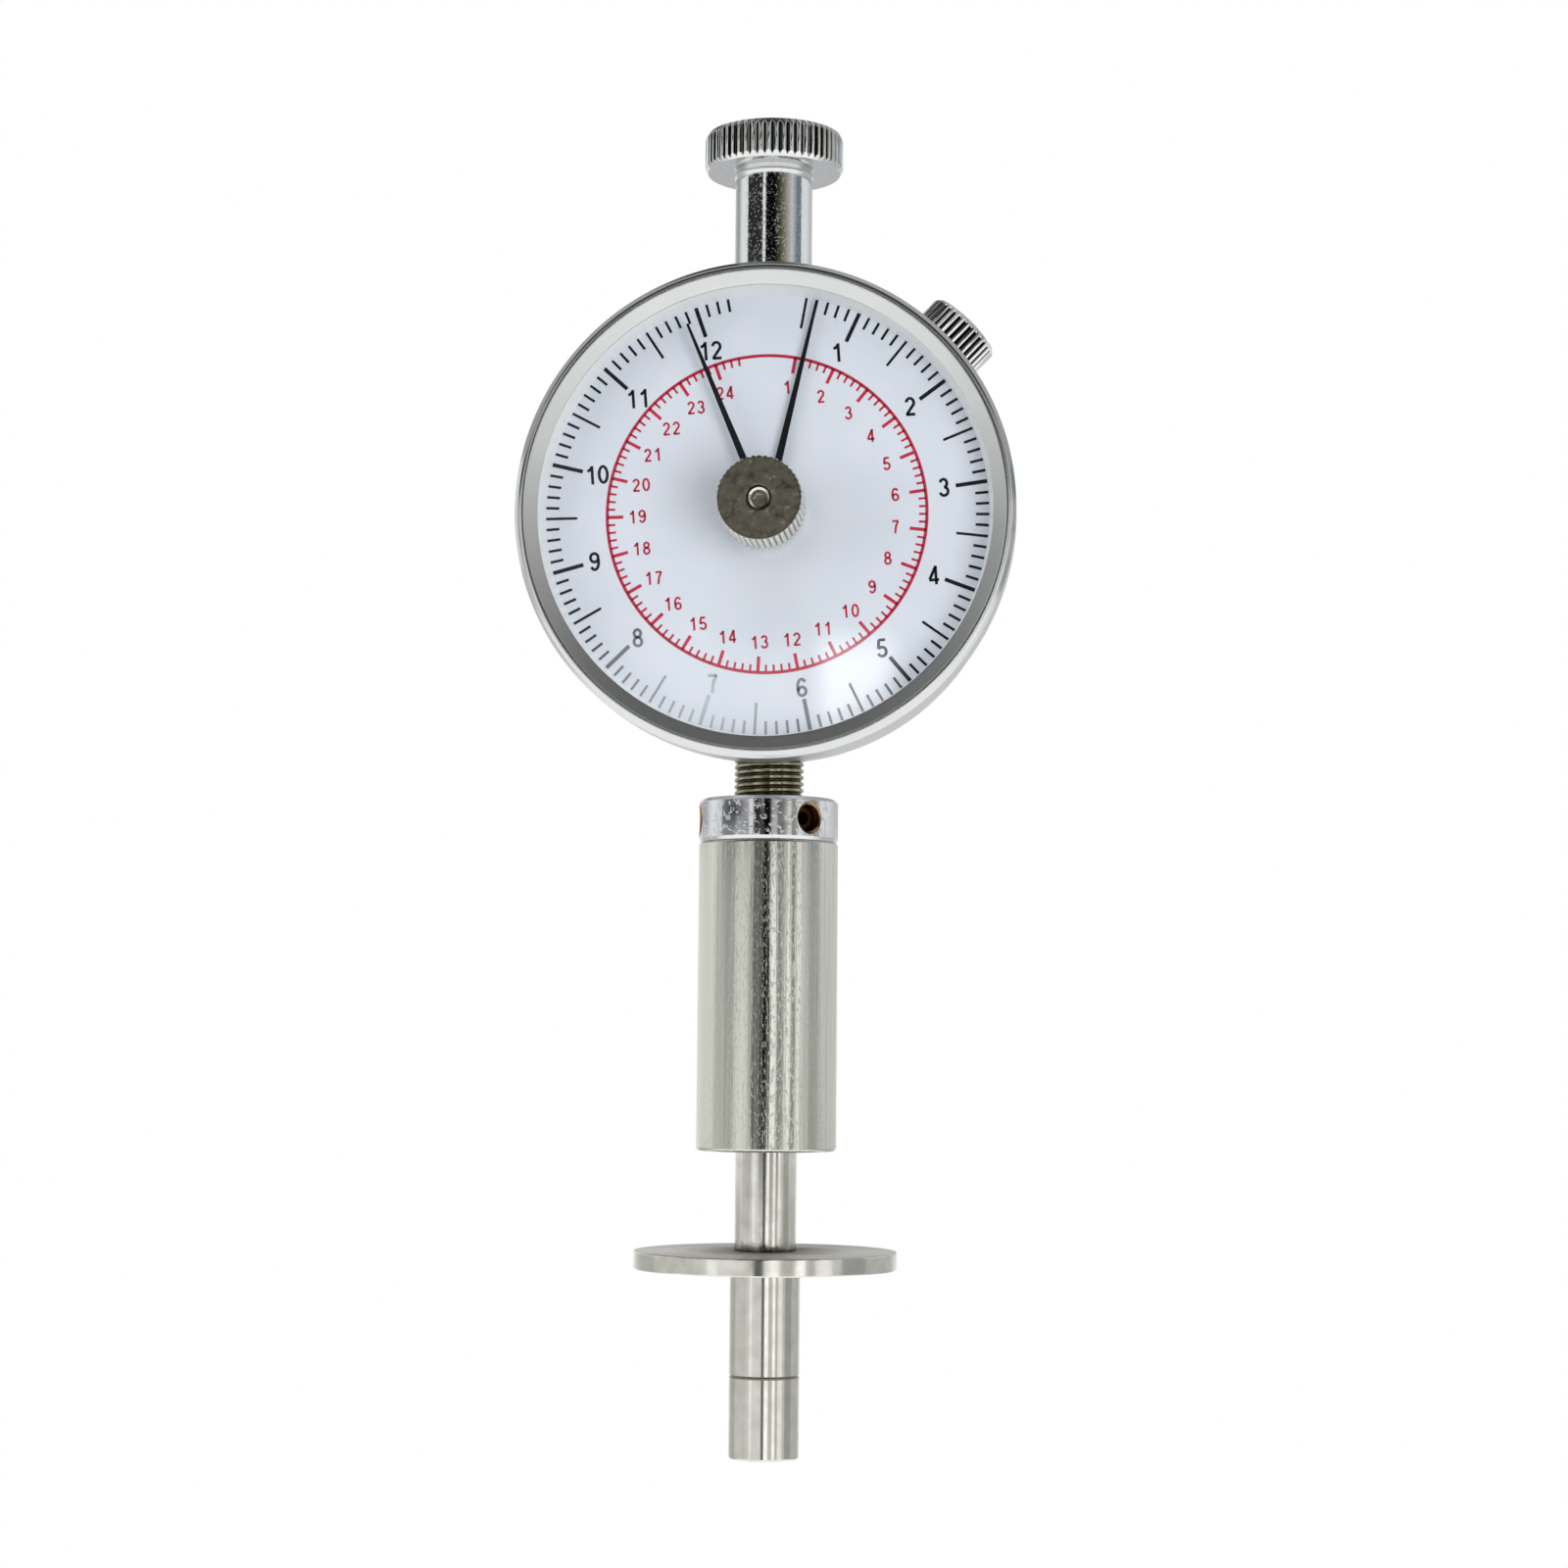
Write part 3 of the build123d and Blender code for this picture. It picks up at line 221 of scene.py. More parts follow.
def rounded(corners, closed):
    """Points along an outline of (radius, height, rounding) corners; held points keep its flats flat."""
    points = []
    count = len(corners)
    for index, corner in enumerate(corners):
        here = Vector(corner[:2])
        rounding = corner[2] if len(corner) > 2 else 0
        if not rounding or (not closed and index in (0, count - 1)):
            points.append(here)
            continue
        before = (Vector(corners[index - 1][:2]) - here).normalized()
        after = (Vector(corners[(index + 1) % count][:2]) - here).normalized()
        half = before.angle(after) / 2
        reach = rounding / math.tan(half)
        centre = here + (before + after).normalized() * (rounding / math.sin(half))
        start, end = here + before * reach - centre, here + after * reach - centre
        points.append(here + before * (reach + HOLD))
        for step in range(ARC_STEPS + 1):
            swing = start.lerp(end, step / ARC_STEPS)
            points.append(centre + swing.normalized() * rounding)
        points.append(here + after * (reach + HOLD))
    return points


def meshed(name, shape, place=UPRIGHT):
    """A plain mesh of a shape, put in its place."""
    mesh = bpy.data.meshes.new(name)
    shape.to_mesh(mesh)
    shape.free()
    mesh.transform(place)
    return mesh


def turned(name, corners, material, steps=160, closed=True, place=UPRIGHT):
    """A piece turned on the lathe from (radius, height, rounding) corners in millimetres."""
    shape = bmesh.new()
    angles = [2 * math.pi * step / steps for step in range(steps)]
    rings = []
    for radius, height in rounded(corners, closed):
        if radius < TINY:
            rings.append([shape.verts.new((0, 0, height * MM))] * steps)
            continue
        rings.append([shape.verts.new((radius * math.cos(a) * MM, radius * math.sin(a) * MM, height * MM))
                      for a in angles])
    following = rings[1:] + (rings[:1] if closed else [])
    for low, high in zip(rings, following):
        for step in range(steps):
            after = (step + 1) % steps
            distinct = list(dict.fromkeys([low[step], low[after], high[after], high[step]]))
            if len(distinct) > 2:
                shape.faces.new(distinct)
    bmesh.ops.recalc_face_normals(shape, faces=shape.faces)
    mesh = meshed(name, shape, place)
    smooth(mesh)
    return new_piece(name, mesh, material)


def baked(piece):
    """Makes a plain mesh of what a piece's modifiers give, and takes the modifiers off."""
    graph = bpy.context.evaluated_depsgraph_get()
    mesh = bpy.data.meshes.new_from_object(piece.evaluated_get(graph))
    piece.modifiers.clear()
    if piece.type == "MESH":
        piece.data = mesh
        smooth(mesh)
    return mesh


def cut_away(piece, tool):
    """Takes a tool's shape out of a piece, which gets the tool's material there; the tool is thrown away."""
    cut = piece.modifiers.new(tool.name, "BOOLEAN")
    cut.object = tool
    cut.solver = "EXACT"
    cut.material_mode = "TRANSFER"
    baked(piece)
    bpy.data.objects.remove(tool)


def grown(blank, tree, **sizes):
    """Runs a node tree on a blank; each named input is set by its socket's identifier."""
    modifier = blank.modifiers.new(tree.name, "NODES")
    modifier.node_group = tree
    for socket in tree.interface.items_tree:
        key = socket.name.replace(" ", "_").lower()
        if key in sizes:
            modifier[socket.identifier] = sizes[key]
    return baked(blank)


def start_tree(name, **inputs):
    """A geometry tree with named inputs; it gives back the tree and its input sockets."""
    tree = bpy.data.node_groups.new(name, "GeometryNodeTree")
    tree.interface.new_socket("Geometry", in_out="INPUT", socket_type="NodeSocketGeometry")
    for label, kind in inputs.items():
        label = label.replace("_", " ").capitalize()
        tree.interface.new_socket(label, in_out="INPUT", socket_type="NodeSocket" + kind)
    tree.interface.new_socket("Geometry", in_out="OUTPUT", socket_type="NodeSocketGeometry")
    return tree, node(tree, "NodeGroupInput").outputs


def end_tree(tree, shape, given):
    """Makes instances real and gives them their material."""
    real = node(tree, "GeometryNodeRealizeInstances", shape)
    done = node(tree, "GeometryNodeSetMaterial", {"Geometry": real, "Material": given["Material"]})
    node(tree, "NodeGroupOutput", done)
    return tree


# Copies of one piece stand in a ring about Z, each turned to face outwards.
tree, given = start_tree("ring_of_pieces", piece="Object", count="Int", first_angle="Float",
                         material="Material")
points = node(tree, "GeometryNodePoints", {"Count": given["Count"]})
index = node(tree, "GeometryNodeInputIndex")
step = node(tree, "Math", 2 * math.pi, given["Count"], operation="DIVIDE")
angle = node(tree, "Math", index, step, given["First angle"], operation="MULTIPLY_ADD")
turn = node(tree, "CombineXYZ", {2: angle})
source = node(tree, "GeometryNodeObjectInfo", {"Object": given["Piece"]}).outputs["Geometry"]
placed = {"Points": points, "Instance": source, "Rotation": turn}
copies = node(tree, "GeometryNodeInstanceOnPoints", placed)
ring_of_pieces = end_tree(tree, copies, given)


def ring(name, pattern, count, first_angle, material, place):
    """A ring of copies of a pattern piece, which is then thrown away."""
    piece = new_piece(name, bpy.data.meshes.new(name), material)
    grown(piece, ring_of_pieces, piece=pattern, count=count, first_angle=math.radians(first_angle),
          material=material)
    bpy.data.objects.remove(pattern)
    piece.data.transform(place)
    return piece


def patchy(name, size, detail, colour, roughness, **sockets):
    """A finish whose colour and gloss change together, in soft patches of a size in millimetres."""
    made, tree, shader = start_material(name, **sockets)
    patches = blotches(tree, size, detail)
    coat(shader, colour=(patches, *colour), roughness=(patches, *roughness))
    return made


# Bright drawn steel of small screws: grey and fairly glossy, a little dulled in patches.
screw_steel = patchy("plain_steel", size=0.8, detail=4.0, colour=("8d8d8b", "b4b3af"),
                     roughness=(0.22, 0.4), Metallic=1.0)
back_plate = finer_copy("back_plate", "back_cover", case_chrome)
fit(back_plate, "case", "satin_silver", "back_cover")

SCREW_PLACE = Matrix.Translation((COVER_SCREW_CIRCLE * MM, 0, 0))
cover_screw = turned("cover_screw_pattern", [
    (0, 0),
    (COVER_SCREW_HEAD, 0, COVER_SCREW_EDGE),
    (COVER_SCREW_SHANK, -COVER_SCREW_SINK),
    (COVER_SCREW_SHANK, -COVER_SCREW_LENGTH, COVER_SCREW_TIP),
    (0, -COVER_SCREW_LENGTH),
], screw_steel, steps=48, closed=False, place=SCREW_PLACE)
cutter = bmesh.new()
bmesh.ops.create_cube(cutter, size=1)
slot_size = Matrix.Diagonal((SLOT_WIDTH * MM, 3 * COVER_SCREW_HEAD * MM, 2 * SLOT_DEPTH * MM, 1))
slot_place = SCREW_PLACE @ Matrix.Rotation(math.radians(SLOT_TURN), 4, "Z") @ slot_size
cut_away(cover_screw, new_piece("slot_cutter", meshed("slot_cutter", cutter, slot_place), screw_steel))
cover_back = measured("back_cover", FACE)[1]
COVER_OUTSIDE = FACE @ Matrix.Translation((0, 0, cover_back * MM)) @ Matrix.Rotation(math.pi, 4, "X")
cover_screws = ring("cover_screws", cover_screw, COVER_SCREW_COUNT, COVER_SCREW_FIRST, screw_steel,
                    COVER_OUTSIDE)
fit(cover_screws, "case", "screw_steel", "back_cover_screws")

# Movement: a brass plate on three posts of the case, with the bridge, pillars and bushes of the arbour.
# The spindle carries a brass rack on its flat, and a slotted brass block keeps its cross pin from turning.
# Machined brass gives the eye: warm yellow and glossy, with brown dulling in soft patches.
brass = patchy("machined_brass", size=2.5, detail=5.0, colour=("a8874a", "d3b470"),
               roughness=(0.34, 0.2), Metallic=1.0)


def paint(material, *solids):
    """Gives CAD solids that stay as they are their material."""
    for solid in solids:
        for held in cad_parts[solid].material_slots:
            held.material = material


paint(brass, "movement_plate", "arbour_cock", "cock_pillars", "arbour_bushes", "guide_fork", "rack",
      "pinion_arbour", "pointer_hub", "neck_bush", "stem_bush", "crystal_bush", "sleeve_bush")
paint(screw_steel, "movement_screws", "cock_screws", "fork_screws", "rack_screws")

# Drive pointer: stamped from thin brass, blacked with lacquer and pressed on the arbour's hub.
# The peak pointer is the same stamping, a little shorter, on the shaft of the reset knob.
# Thin black lacquer gives the eye: nearly black and satin, with a slight orange peel in its gloss.
black_lacquer = patchy("black_lacquer", size=0.6, detail=3.0, colour=("0b0d10", "1b1e22"),
                       roughness=(0.3, 0.45), IOR=1.5, Specular_IOR_Level=0.2)
paint(black_lacquer, "drive_pointer", "peak_pointer")

# Dial: an aluminium disc in stoved white enamel, printed in black and red, that turns with the bezel.
# The black outer scale runs to twelve and the red inner one to twenty-four, both turned a little to the left.
DIAL_RADIUS = 27.38
DIAL_HOLE = 2.5
dial_back = -dial_high.y / MM
dial_front = -dial_low.y / MM
INK = 0.02
PRINT_TURN = -4.35
BLACK_STEP = 28.76
RED_STEP = BLACK_STEP / 2
TICK_COUNT = 119
TICK_STEP = BLACK_STEP / 10
LONG_EVERY = 5
RED_RADIUS = 18.33
RED_CIRCLE_WIDTH = 0.36
DIGIT_MIDDLE = 0.26
ONE_MIDDLE = 0.48
# Painted reflection: the middle and radius, in millimetres, of a pale patch over the print that stands in for
# the crystal's glare.
GLARE_VEIL_PLACE = (-6.0, -21.5)
GLARE_VEIL_RADIUS = 17.0


def printed_enamel():
    """Stoved enamel: a cool white with the faint unevenness of a sprayed coat, half matt."""
    made, tree, shader = start_material("white_enamel", IOR=1.5)
    coat(shader, colour=(blotches(tree, size=7.0, detail=2.0), "d2d8e2", "dce1e9"),
         roughness=(blotches(tree, size=0.4, detail=2.0), 0.42, 0.52))
    return made


def printing_ink(name, thin, full, painted_veil=None):
    """Screen ink: matt, a little thinner in places, and perhaps paled at the dial's lower left by a painted
    veil that stands in for the crystal's glare.
    """
    made, tree, shader = start_material(name, IOR=1.5, Roughness=0.7, Specular_IOR_Level=0.15)
    cover = None
    # Painted reflection: the print is paled towards a pale grey in a round patch at the dial's lower left,
    # for the crystal's glare veil.
    if painted_veil:
        across, up = GLARE_VEIL_PLACE
        size = 1 / (GLARE_VEIL_RADIUS * MM)
        middle = (-across * MM * size, 0, -(DIAL_HEIGHT + up * MM) * size)
        place = {0: node(tree, "TexCoord").outputs["Object"], 1: middle, 3: (size, 0, size)}
        spot = node(tree, "TexGradient", node(tree, "Mapping", place), gradient_type="SPHERICAL")
        cover = (spot.outputs["Fac"], painted_veil)
    coat(shader, colour=(blotches(tree, size=0.3, detail=3.0), thin, full), cover=cover)
    return made


black_ink = printing_ink("black_ink", "23262b", "0e1013", "b9bfc7")
red_ink = printing_ink("red_ink", "c93a54", "b01c3a")
dial_disc = turned("dial_disc", [
    (DIAL_HOLE, dial_back),
    (DIAL_RADIUS, dial_back),
    (DIAL_RADIUS, dial_front),
    (DIAL_HOLE, dial_front),
], printed_enamel(), place=FACE)
fit(dial_disc, "dial_head", "dial_white", "dial_plate")

# Ticks stand on a circle, each a thin bar of ink; some are longer, and some of those thicker.
tree, given = start_tree(
    "scale_ticks", count="Int", first_angle="Float", step_angle="Float", outer_radius="Float",
    long_every="Int", thick_every="Int", thick_offset="Int", short_length="Float", long_length="Float",
    thin_width="Float", thick_width="Float", ink="Float", material="Material")
index = node(tree, "GeometryNodeInputIndex")
angle = node(tree, "Math", index, given["Step angle"], given["First angle"], operation="MULTIPLY_ADD")
long_place = node(tree, "Math", index, given["Long every"], operation="FLOORED_MODULO")
is_long = node(tree, "Math", long_place, 0.0, 0.5, operation="COMPARE")
shifted = node(tree, "Math", index, given["Thick offset"], operation="ADD")
thick_place = node(tree, "Math", shifted, given["Thick every"], operation="FLOORED_MODULO")
is_thick = node(tree, "Math", thick_place, 0.0, 0.5, operation="COMPARE")
length = node(tree, "Mix", {0: is_long, 2: given["Short length"], 3: given["Long length"]})
width = node(tree, "Mix", {0: is_thick, 2: given["Thin width"], 3: given["Thick width"]})
half_in = node(tree, "Math", length, -0.5, given["Outer radius"], operation="MULTIPLY_ADD")
sine = node(tree, "Math", angle, operation="SINE")
cosine = node(tree, "Math", angle, operation="COSINE")
across = node(tree, "Math", half_in, sine, operation="MULTIPLY")
up = node(tree, "Math", half_in, cosine, operation="MULTIPLY")
half_ink = node(tree, "Math", given["Ink"], 0.5, operation="MULTIPLY")
place = node(tree, "CombineXYZ", across, up, half_ink)
back_turn = node(tree, "Math", angle, -1.0, operation="MULTIPLY")
turn = node(tree, "CombineXYZ", {2: back_turn})
size = node(tree, "CombineXYZ", width, length, given["Ink"])
points = node(tree, "GeometryNodePoints", {"Count": given["Count"], "Position": place})
bar = node(tree, "GeometryNodeMeshCube", {"Size": (1, 1, 1)})
placed = {"Points": points, "Instance": bar, "Rotation": turn, "Scale": size}
ticks = node(tree, "GeometryNodeInstanceOnPoints", placed)
scale_ticks = end_tree(tree, ticks, given)

# A printed line follows a flat curve with a flat strip of ink.
tree, given = start_tree("printed_line", width="Float", ink="Float", material="Material")
upright_curve = node(tree, "GeometryNodeSetCurveNormal", {"Curve": given["Geometry"]}, mode="Z_UP")
strip_size = {"Width": given["Width"], "Height": given["Ink"]}
strip = node(tree, "GeometryNodeCurvePrimitiveQuadrilateral", strip_size)
swept = {"Curve": upright_curve, "Profile Curve": strip, "Fill Caps": True}
inked = node(tree, "GeometryNodeCurveToMesh", swept)
printed_line = end_tree(tree, inked, given)

PRINT_PLACE = FACE @ Matrix.Translation((0, 0, dial_front * MM))


def print_ticks(name, material, thick_every, thick_offset, **lengths):
    """A row of ticks round the dial, with its radius and the ticks' lengths and widths in millimetres."""
    piece = new_piece(name, bpy.data.meshes.new(name), material)
    grown(piece, scale_ticks, count=TICK_COUNT, first_angle=math.radians(PRINT_TURN + BLACK_STEP / 2),
          step_angle=math.radians(TICK_STEP), long_every=LONG_EVERY, thick_every=thick_every,
          thick_offset=thick_offset, ink=INK * MM, material=material,
          **{label: length * MM for label, length in lengths.items()})
    piece.data.transform(PRINT_PLACE)
    fit(piece, "dial_head", "dial_white")


def bow(x, y, wide, high, start, end, spacing=15):
    """Points along an ellipse's arc, in degrees anticlockwise from the right."""
    count = round(abs(end - start) / spacing)
    turns = [math.radians(start + (end - start) * step / count) for step in range(count + 1)]
    return [(x + wide * math.cos(t), y + high * math.sin(t)) for t in turns]


# The strokes of each figure, in a box one unit high.
DIGITS = {
    "0": [bow(0.26, 0.5, 0.22, 0.435, 0, 360)],
    "1": [[(0.33, 0.0), (0.33, 1.0)], [(0.34, 0.93), (0.22, 0.8), (0.08, 0.72)]],
    "2": [bow(0.26, 0.7, 0.2, 0.235, 172, -28) + [(0.05, 0.07)], [(0.02, 0.065), (0.5, 0.065)]],
    "3": [bow(0.25, 0.72, 0.18, 0.215, 165, -85), bow(0.25, 0.285, 0.215, 0.225, 85, -165)],
    "4": [[(0.37, 0.0), (0.37, 1.0)], [(0.37, 0.95), (0.03, 0.29)], [(0.0, 0.25), (0.52, 0.25)]],
    "5": [[(0.45, 0.93), (0.11, 0.93)], [(0.12, 0.95), (0.06, 0.46)],
          bow(0.25, 0.305, 0.22, 0.245, 142, -160)],
    "6": [bow(0.27, 0.29, 0.205, 0.23, 0, 360), bow(0.275, 0.52, 0.225, 0.415, 212, 38)],
    "7": [[(0.03, 0.935), (0.5, 0.935)], [(0.48, 0.92), (0.3, 0.55), (0.2, 0.0)]],
    "8": [bow(0.26, 0.735, 0.175, 0.2, 0, 360), bow(0.26, 0.285, 0.21, 0.225, 0, 360)],
    "9": [bow(0.25, 0.71, 0.205, 0.23, 0, 360), bow(0.245, 0.48, 0.225, 0.415, 32, -142)],
}


def ink_line(name, strokes, width, material):
    """Strokes of flat ink on the dial, in millimetres; one that ends where it starts is closed."""
    drawn = bpy.data.curves.new(name, "CURVE")
    drawn.dimensions = "3D"
    for stroke in strokes:
        closed = (Vector(stroke[0]) - Vector(stroke[-1])).length < TINY
        used = stroke[:-1] if closed else stroke
        spline = drawn.splines.new("POLY")
        spline.points.add(len(used) - 1)
        spline.use_cyclic_u = closed
        for point, (x, y) in zip(spline.points, used):
            point.co = (x * MM, y * MM, INK / 2 * MM, 1)
    line = bpy.data.objects.new(name + "_line", drawn)
    bpy.context.scene.collection.objects.link(line)
    mesh = grown(line, printed_line, width=width * MM, ink=INK * MM, material=material)
    bpy.data.objects.remove(line)
    mesh.transform(PRINT_PLACE)
    fit(new_piece(name, mesh, material), "dial_head", "dial_white")


def print_numbers(name, material, values, step, radius, height, advance, stroke_width, inset=0.0):
    """Numbers round the dial, all upright on the print, each centred on its place."""
    tilt = math.radians(-PRINT_TURN)
    strokes = []
    for value in values:
        text = str(value)
        angle = math.radians(value * step)
        reach = radius - inset * (len(text) - 1)
        middle = ONE_MIDDLE if text == "1" else DIGIT_MIDDLE
        for place, figure in enumerate(text):
            left = (place - (len(text) - 1) / 2) * advance - middle
            for stroke in DIGITS[figure]:
                flat = [(reach * math.sin(angle) + (x + left) * height,
                         reach * math.cos(angle) + (y - 0.5) * height) for x, y in stroke]
                strokes.append([(x * math.cos(tilt) - y * math.sin(tilt),
                                 x * math.sin(tilt) + y * math.cos(tilt)) for x, y in flat])
    ink_line(name, strokes, stroke_width, material)


print_ticks("black_ticks", black_ink, thick_every=10, thick_offset=5, outer_radius=25.4,
            short_length=1.5, long_length=3.6, thin_width=0.3, thick_width=0.45)
print_ticks("red_ticks", red_ink, thick_every=5, thick_offset=0, outer_radius=RED_RADIUS,
            short_length=0.9, long_length=1.85, thin_width=0.25, thick_width=0.38)
print_numbers("black_numbers", black_ink, range(1, 13), BLACK_STEP, radius=20.45, height=2.15, advance=0.66,
              stroke_width=0.33, inset=0.35)
print_numbers("red_numbers", red_ink, range(1, 25), RED_STEP, radius=14.85, height=1.5, advance=0.76,
              stroke_width=0.24)
ink_line("red_circle", [bow(0, 0, RED_RADIUS, RED_RADIUS, 0, 360, spacing=2)], RED_CIRCLE_WIDTH, red_ink)

# Dial carrier and sloping ring: the carrier is pressed into the bezel behind the dial and turns in the case.
# The sloping ring keeps the crystal off the dial; both are anodised aluminium.
# A wire of spring steel holds the carrier in the case.
SLOPE_FOOT_RADIUS = 25.45
SLOPE_TOP_RADIUS = 26.0
SLOPE_EDGE = 0.08
_, crystal_back, crystal_front = measured("crystal", FACE)


def anodised_aluminium():
    """Turned aluminium, anodised matt: pale grey, hardly glossy, with rings a fifth of a millimetre apart."""
    made, tree, shader = start_material("anodised_aluminium", Metallic=0.05)
    lines = turning_lines(tree, spacing=0.2, lathe=FACE)
    coat(shader, colour=(lines, "eceff1", "f6f7f8"), roughness=(lines, 0.4, 0.52))
    return made


# Oil-tempered spring wire: dark blue-grey with a dull gloss.
tempered = patchy("spring_steel", size=1.5, detail=3.0, colour=("55575c", "72757b"),
                  roughness=(0.28, 0.42), Metallic=1.0)
aluminium = anodised_aluminium()
paint(aluminium, "dial_carrier")
paint(tempered, "bezel_wire", "friction_washer")
slope = turned("sloping_ring", [
    (SLOPE_FOOT_RADIUS, dial_front),
    (DIAL_RADIUS, dial_front),
    (DIAL_RADIUS, crystal_back),
    (SLOPE_TOP_RADIUS, crystal_back, SLOPE_EDGE),
], aluminium, steps=256, place=FACE)
fit(slope, "dial_head", "satin_silver", "dial_ring")

# Crystal: a flat disc of clear acrylic, held against the bezel's lip, with a hole for the reset knob's bush.
# It is polished, so it shows the room's bright side as a soft veil over the lower dial.
# Cast acrylic gives the eye: quite clear, a trace cool, with very faint rubbing marks.
CRYSTAL_HOLE = 2.22
acrylic = patchy("clear_acrylic", size=3.0, detail=6.0, colour=("f4f8fa", "ffffff"), roughness=(0.0, 0.03),
                 Transmission_Weight=1.0, IOR=1.49)
window = turned("crystal_disc", [
    (CRYSTAL_HOLE, crystal_back),
    (DIAL_RADIUS, crystal_back),
    (DIAL_RADIUS, crystal_front),
    (CRYSTAL_HOLE, crystal_front),
], acrylic, steps=256, place=FACE)
window.visible_shadow = False
window.visible_diffuse = False
fit(window, "dial_head", "clear_acrylic", "crystal")

# Bezel: a turned brass ring in satin chrome, chamfered outside and rounded over to a lip that slopes in.
# It is pressed over the dial carrier and is turned by hand to set the dial's zero.
# Its outer faces are cut bright after plating, so they mirror the room.
BEZEL_BORE = 27.4
LIP_RADIUS = 25.9
LIP_EDGE = 0.12
BEZEL_CHAMFER = 0.75
RIDGE_ROUNDING = 0.8
RIDGE_LOSS = 0.155
FINE_EDGE = 0.05
LIGHT_EDGE = 0.1
SOFT_EDGE = 0.15
BRIGHT_FROM = 27.45
FORWARD = -0.05
bezel_radius, bezel_back, bezel_front = measured("bezel", FACE)
ridge_front = bezel_front + RIDGE_LOSS


def refinish(piece, material, chosen):
    """Gives some faces of a piece a finish of their own; `chosen` is a test of one face."""
    piece.data.materials.append(material)
    for face in piece.data.polygons:
        if chosen(face):
            face.material_index = len(piece.data.materials) - 1


bezel_ring = turned("bezel_ring", [
    (BEZEL_BORE, bezel_back),
    (bezel_radius, bezel_back, SOFT_EDGE),
    (bezel_radius, ridge_front - BEZEL_CHAMFER, LIGHT_EDGE),
    (bezel_radius - BEZEL_CHAMFER, ridge_front, RIDGE_ROUNDING),
    (LIP_RADIUS, crystal_front + LIP_EDGE, FINE_EDGE),
    (LIP_RADIUS, crystal_front),
    (BEZEL_BORE, crystal_front),
], satin_chrome("bezel_chrome", FACE, metallic=0.94), steps=288, place=FACE)
refinish(bezel_ring, satin_chrome("cut_chrome", FACE, metallic=0.97, roughness=(0.1, 0.18)),
         lambda face: face.normal.y < FORWARD
         and math.hypot(face.center.x, face.center.z - DIAL_HEIGHT) > BRIGHT_FROM * MM)
fit(bezel_ring, "dial_head", "satin_silver", "bezel")

# Reset knob: turned brass, straight-knurled and nickel plated, screwed to a steel shaft through the crystal.
# Handling has dulled its face to a dark olive, and only the knurling along its edge still shines.
KNOB_RIDGE_STEPS = 12
BEVEL_ROWS = 7
WALL = 0.75
# Dirt and painted shade: the colour in the bottoms of knurled grooves, and the top share of each crest's
# depth that stays unshaded.
GROOVE_DIRT_AND_SHADE = "2b281f"
UNSHADED_CREST = 0.2
KNURL_ROUNDNESS = 1.6
NICKS = (0.62, 0.7)
NICK_SHINE = 0.6
MOTTLED = (0.1, 0.9)
PITS = (0.57, 0.66)
RESET_RIDGES = 44
RESET_GROOVE = 0.25
RESET_EDGE = 0.3
RESET_RECESS = 3.8
RESET_SHAFT_HOLE = 1.22
RESET_SCREW_HOLE = 0.62
RESET_FACE_HOLE = 1.4
RESET_FACE_BEVEL = 0.08
RESET_RECESS_DEPTH = 0.38
RESET_SCREW_SEAT = 1.0
RESET_SHAFT_END = 1.9
reset_radius, reset_back, reset_front = measured("reset_knob", FACE)


def start_cut(name, **inputs):
    """A tree that cuts into a turned blank; with it come a point's place, its parts and its angle."""
    tree, given = start_tree(name, **inputs, depth="Float", crest="Float", material="Material")
    place = node(tree, "GeometryNodeInputPosition")
    apart = node(tree, "SeparateXYZ", place).outputs
    return tree, given, place, apart, node(tree, "Math", apart["Y"], apart["X"], operation="ARCTAN2")


def end_cut(tree, given, place, apart, share):
    """Draws each point in to the crest less its share of the depth, where the blank stands out that far."""
    depth = node(tree, "Math", share, given["Depth"], operation="MULTIPLY")
    bottom = node(tree, "Math", given["Crest"], depth, operation="SUBTRACT")
    flat = node(tree, "CombineXYZ", apart["X"], apart["Y"])
    radius = node(tree, "VectorMath", flat, operation="LENGTH")
    kept = node(tree, "Math", radius, bottom, operation="MINIMUM")
    some = node(tree, "Math", radius, TINY * MM, operation="MAXIMUM")
    drawn = node(tree, "Math", kept, some, operation="DIVIDE")
    scale = node(tree, "CombineXYZ", drawn, drawn, 1.0)
    cut_place = node(tree, "VectorMath", place, scale, operation="MULTIPLY")
    shape = node(tree, "GeometryNodeSetPosition", {"Geometry": given["Geometry"], "Position": cut_place})
    return end_tree(tree, shape, given)


# Straight knurling: rounded crests with narrow grooves between.
tree, given, place, apart, angle = start_cut("straight_knurl", ridges="Int", roundness="Float")
per_turn = node(tree, "Math", given["Ridges"], 1 / (2 * math.pi), operation="MULTIPLY")
ridge = node(tree, "Math", angle, per_turn, operation="MULTIPLY")
wave = node(tree, "Math", ridge, 0.5, operation="PINGPONG")
whole = node(tree, "Math", wave, 2.0, operation="MULTIPLY")
sunk = node(tree, "Math", whole, given["Roundness"], operation="POWER")
straight_knurl = end_cut(tree, given, place, apart, sunk)


def bevel(start, end, rows=BEVEL_ROWS):
    """Points from one corner of a bevel to the other, close enough for the knurling to run out in it."""
    return [tuple(Vector(start).lerp(Vector(end), row / rows)) for row in range(rows + 1)]


def knurled(name, corners, ridges, groove, crest, material, place):
    """A turned blank with straight knurling cut into all that stands out to its crest, put in its place."""
    piece = turned(name, corners, material, steps=ridges * KNOB_RIDGE_STEPS)
    grown(piece, straight_knurl, ridges=ridges, depth=groove * MM, crest=crest * MM,
          roundness=KNURL_ROUNDNESS, material=material)
    piece.data.transform(place)
    return piece


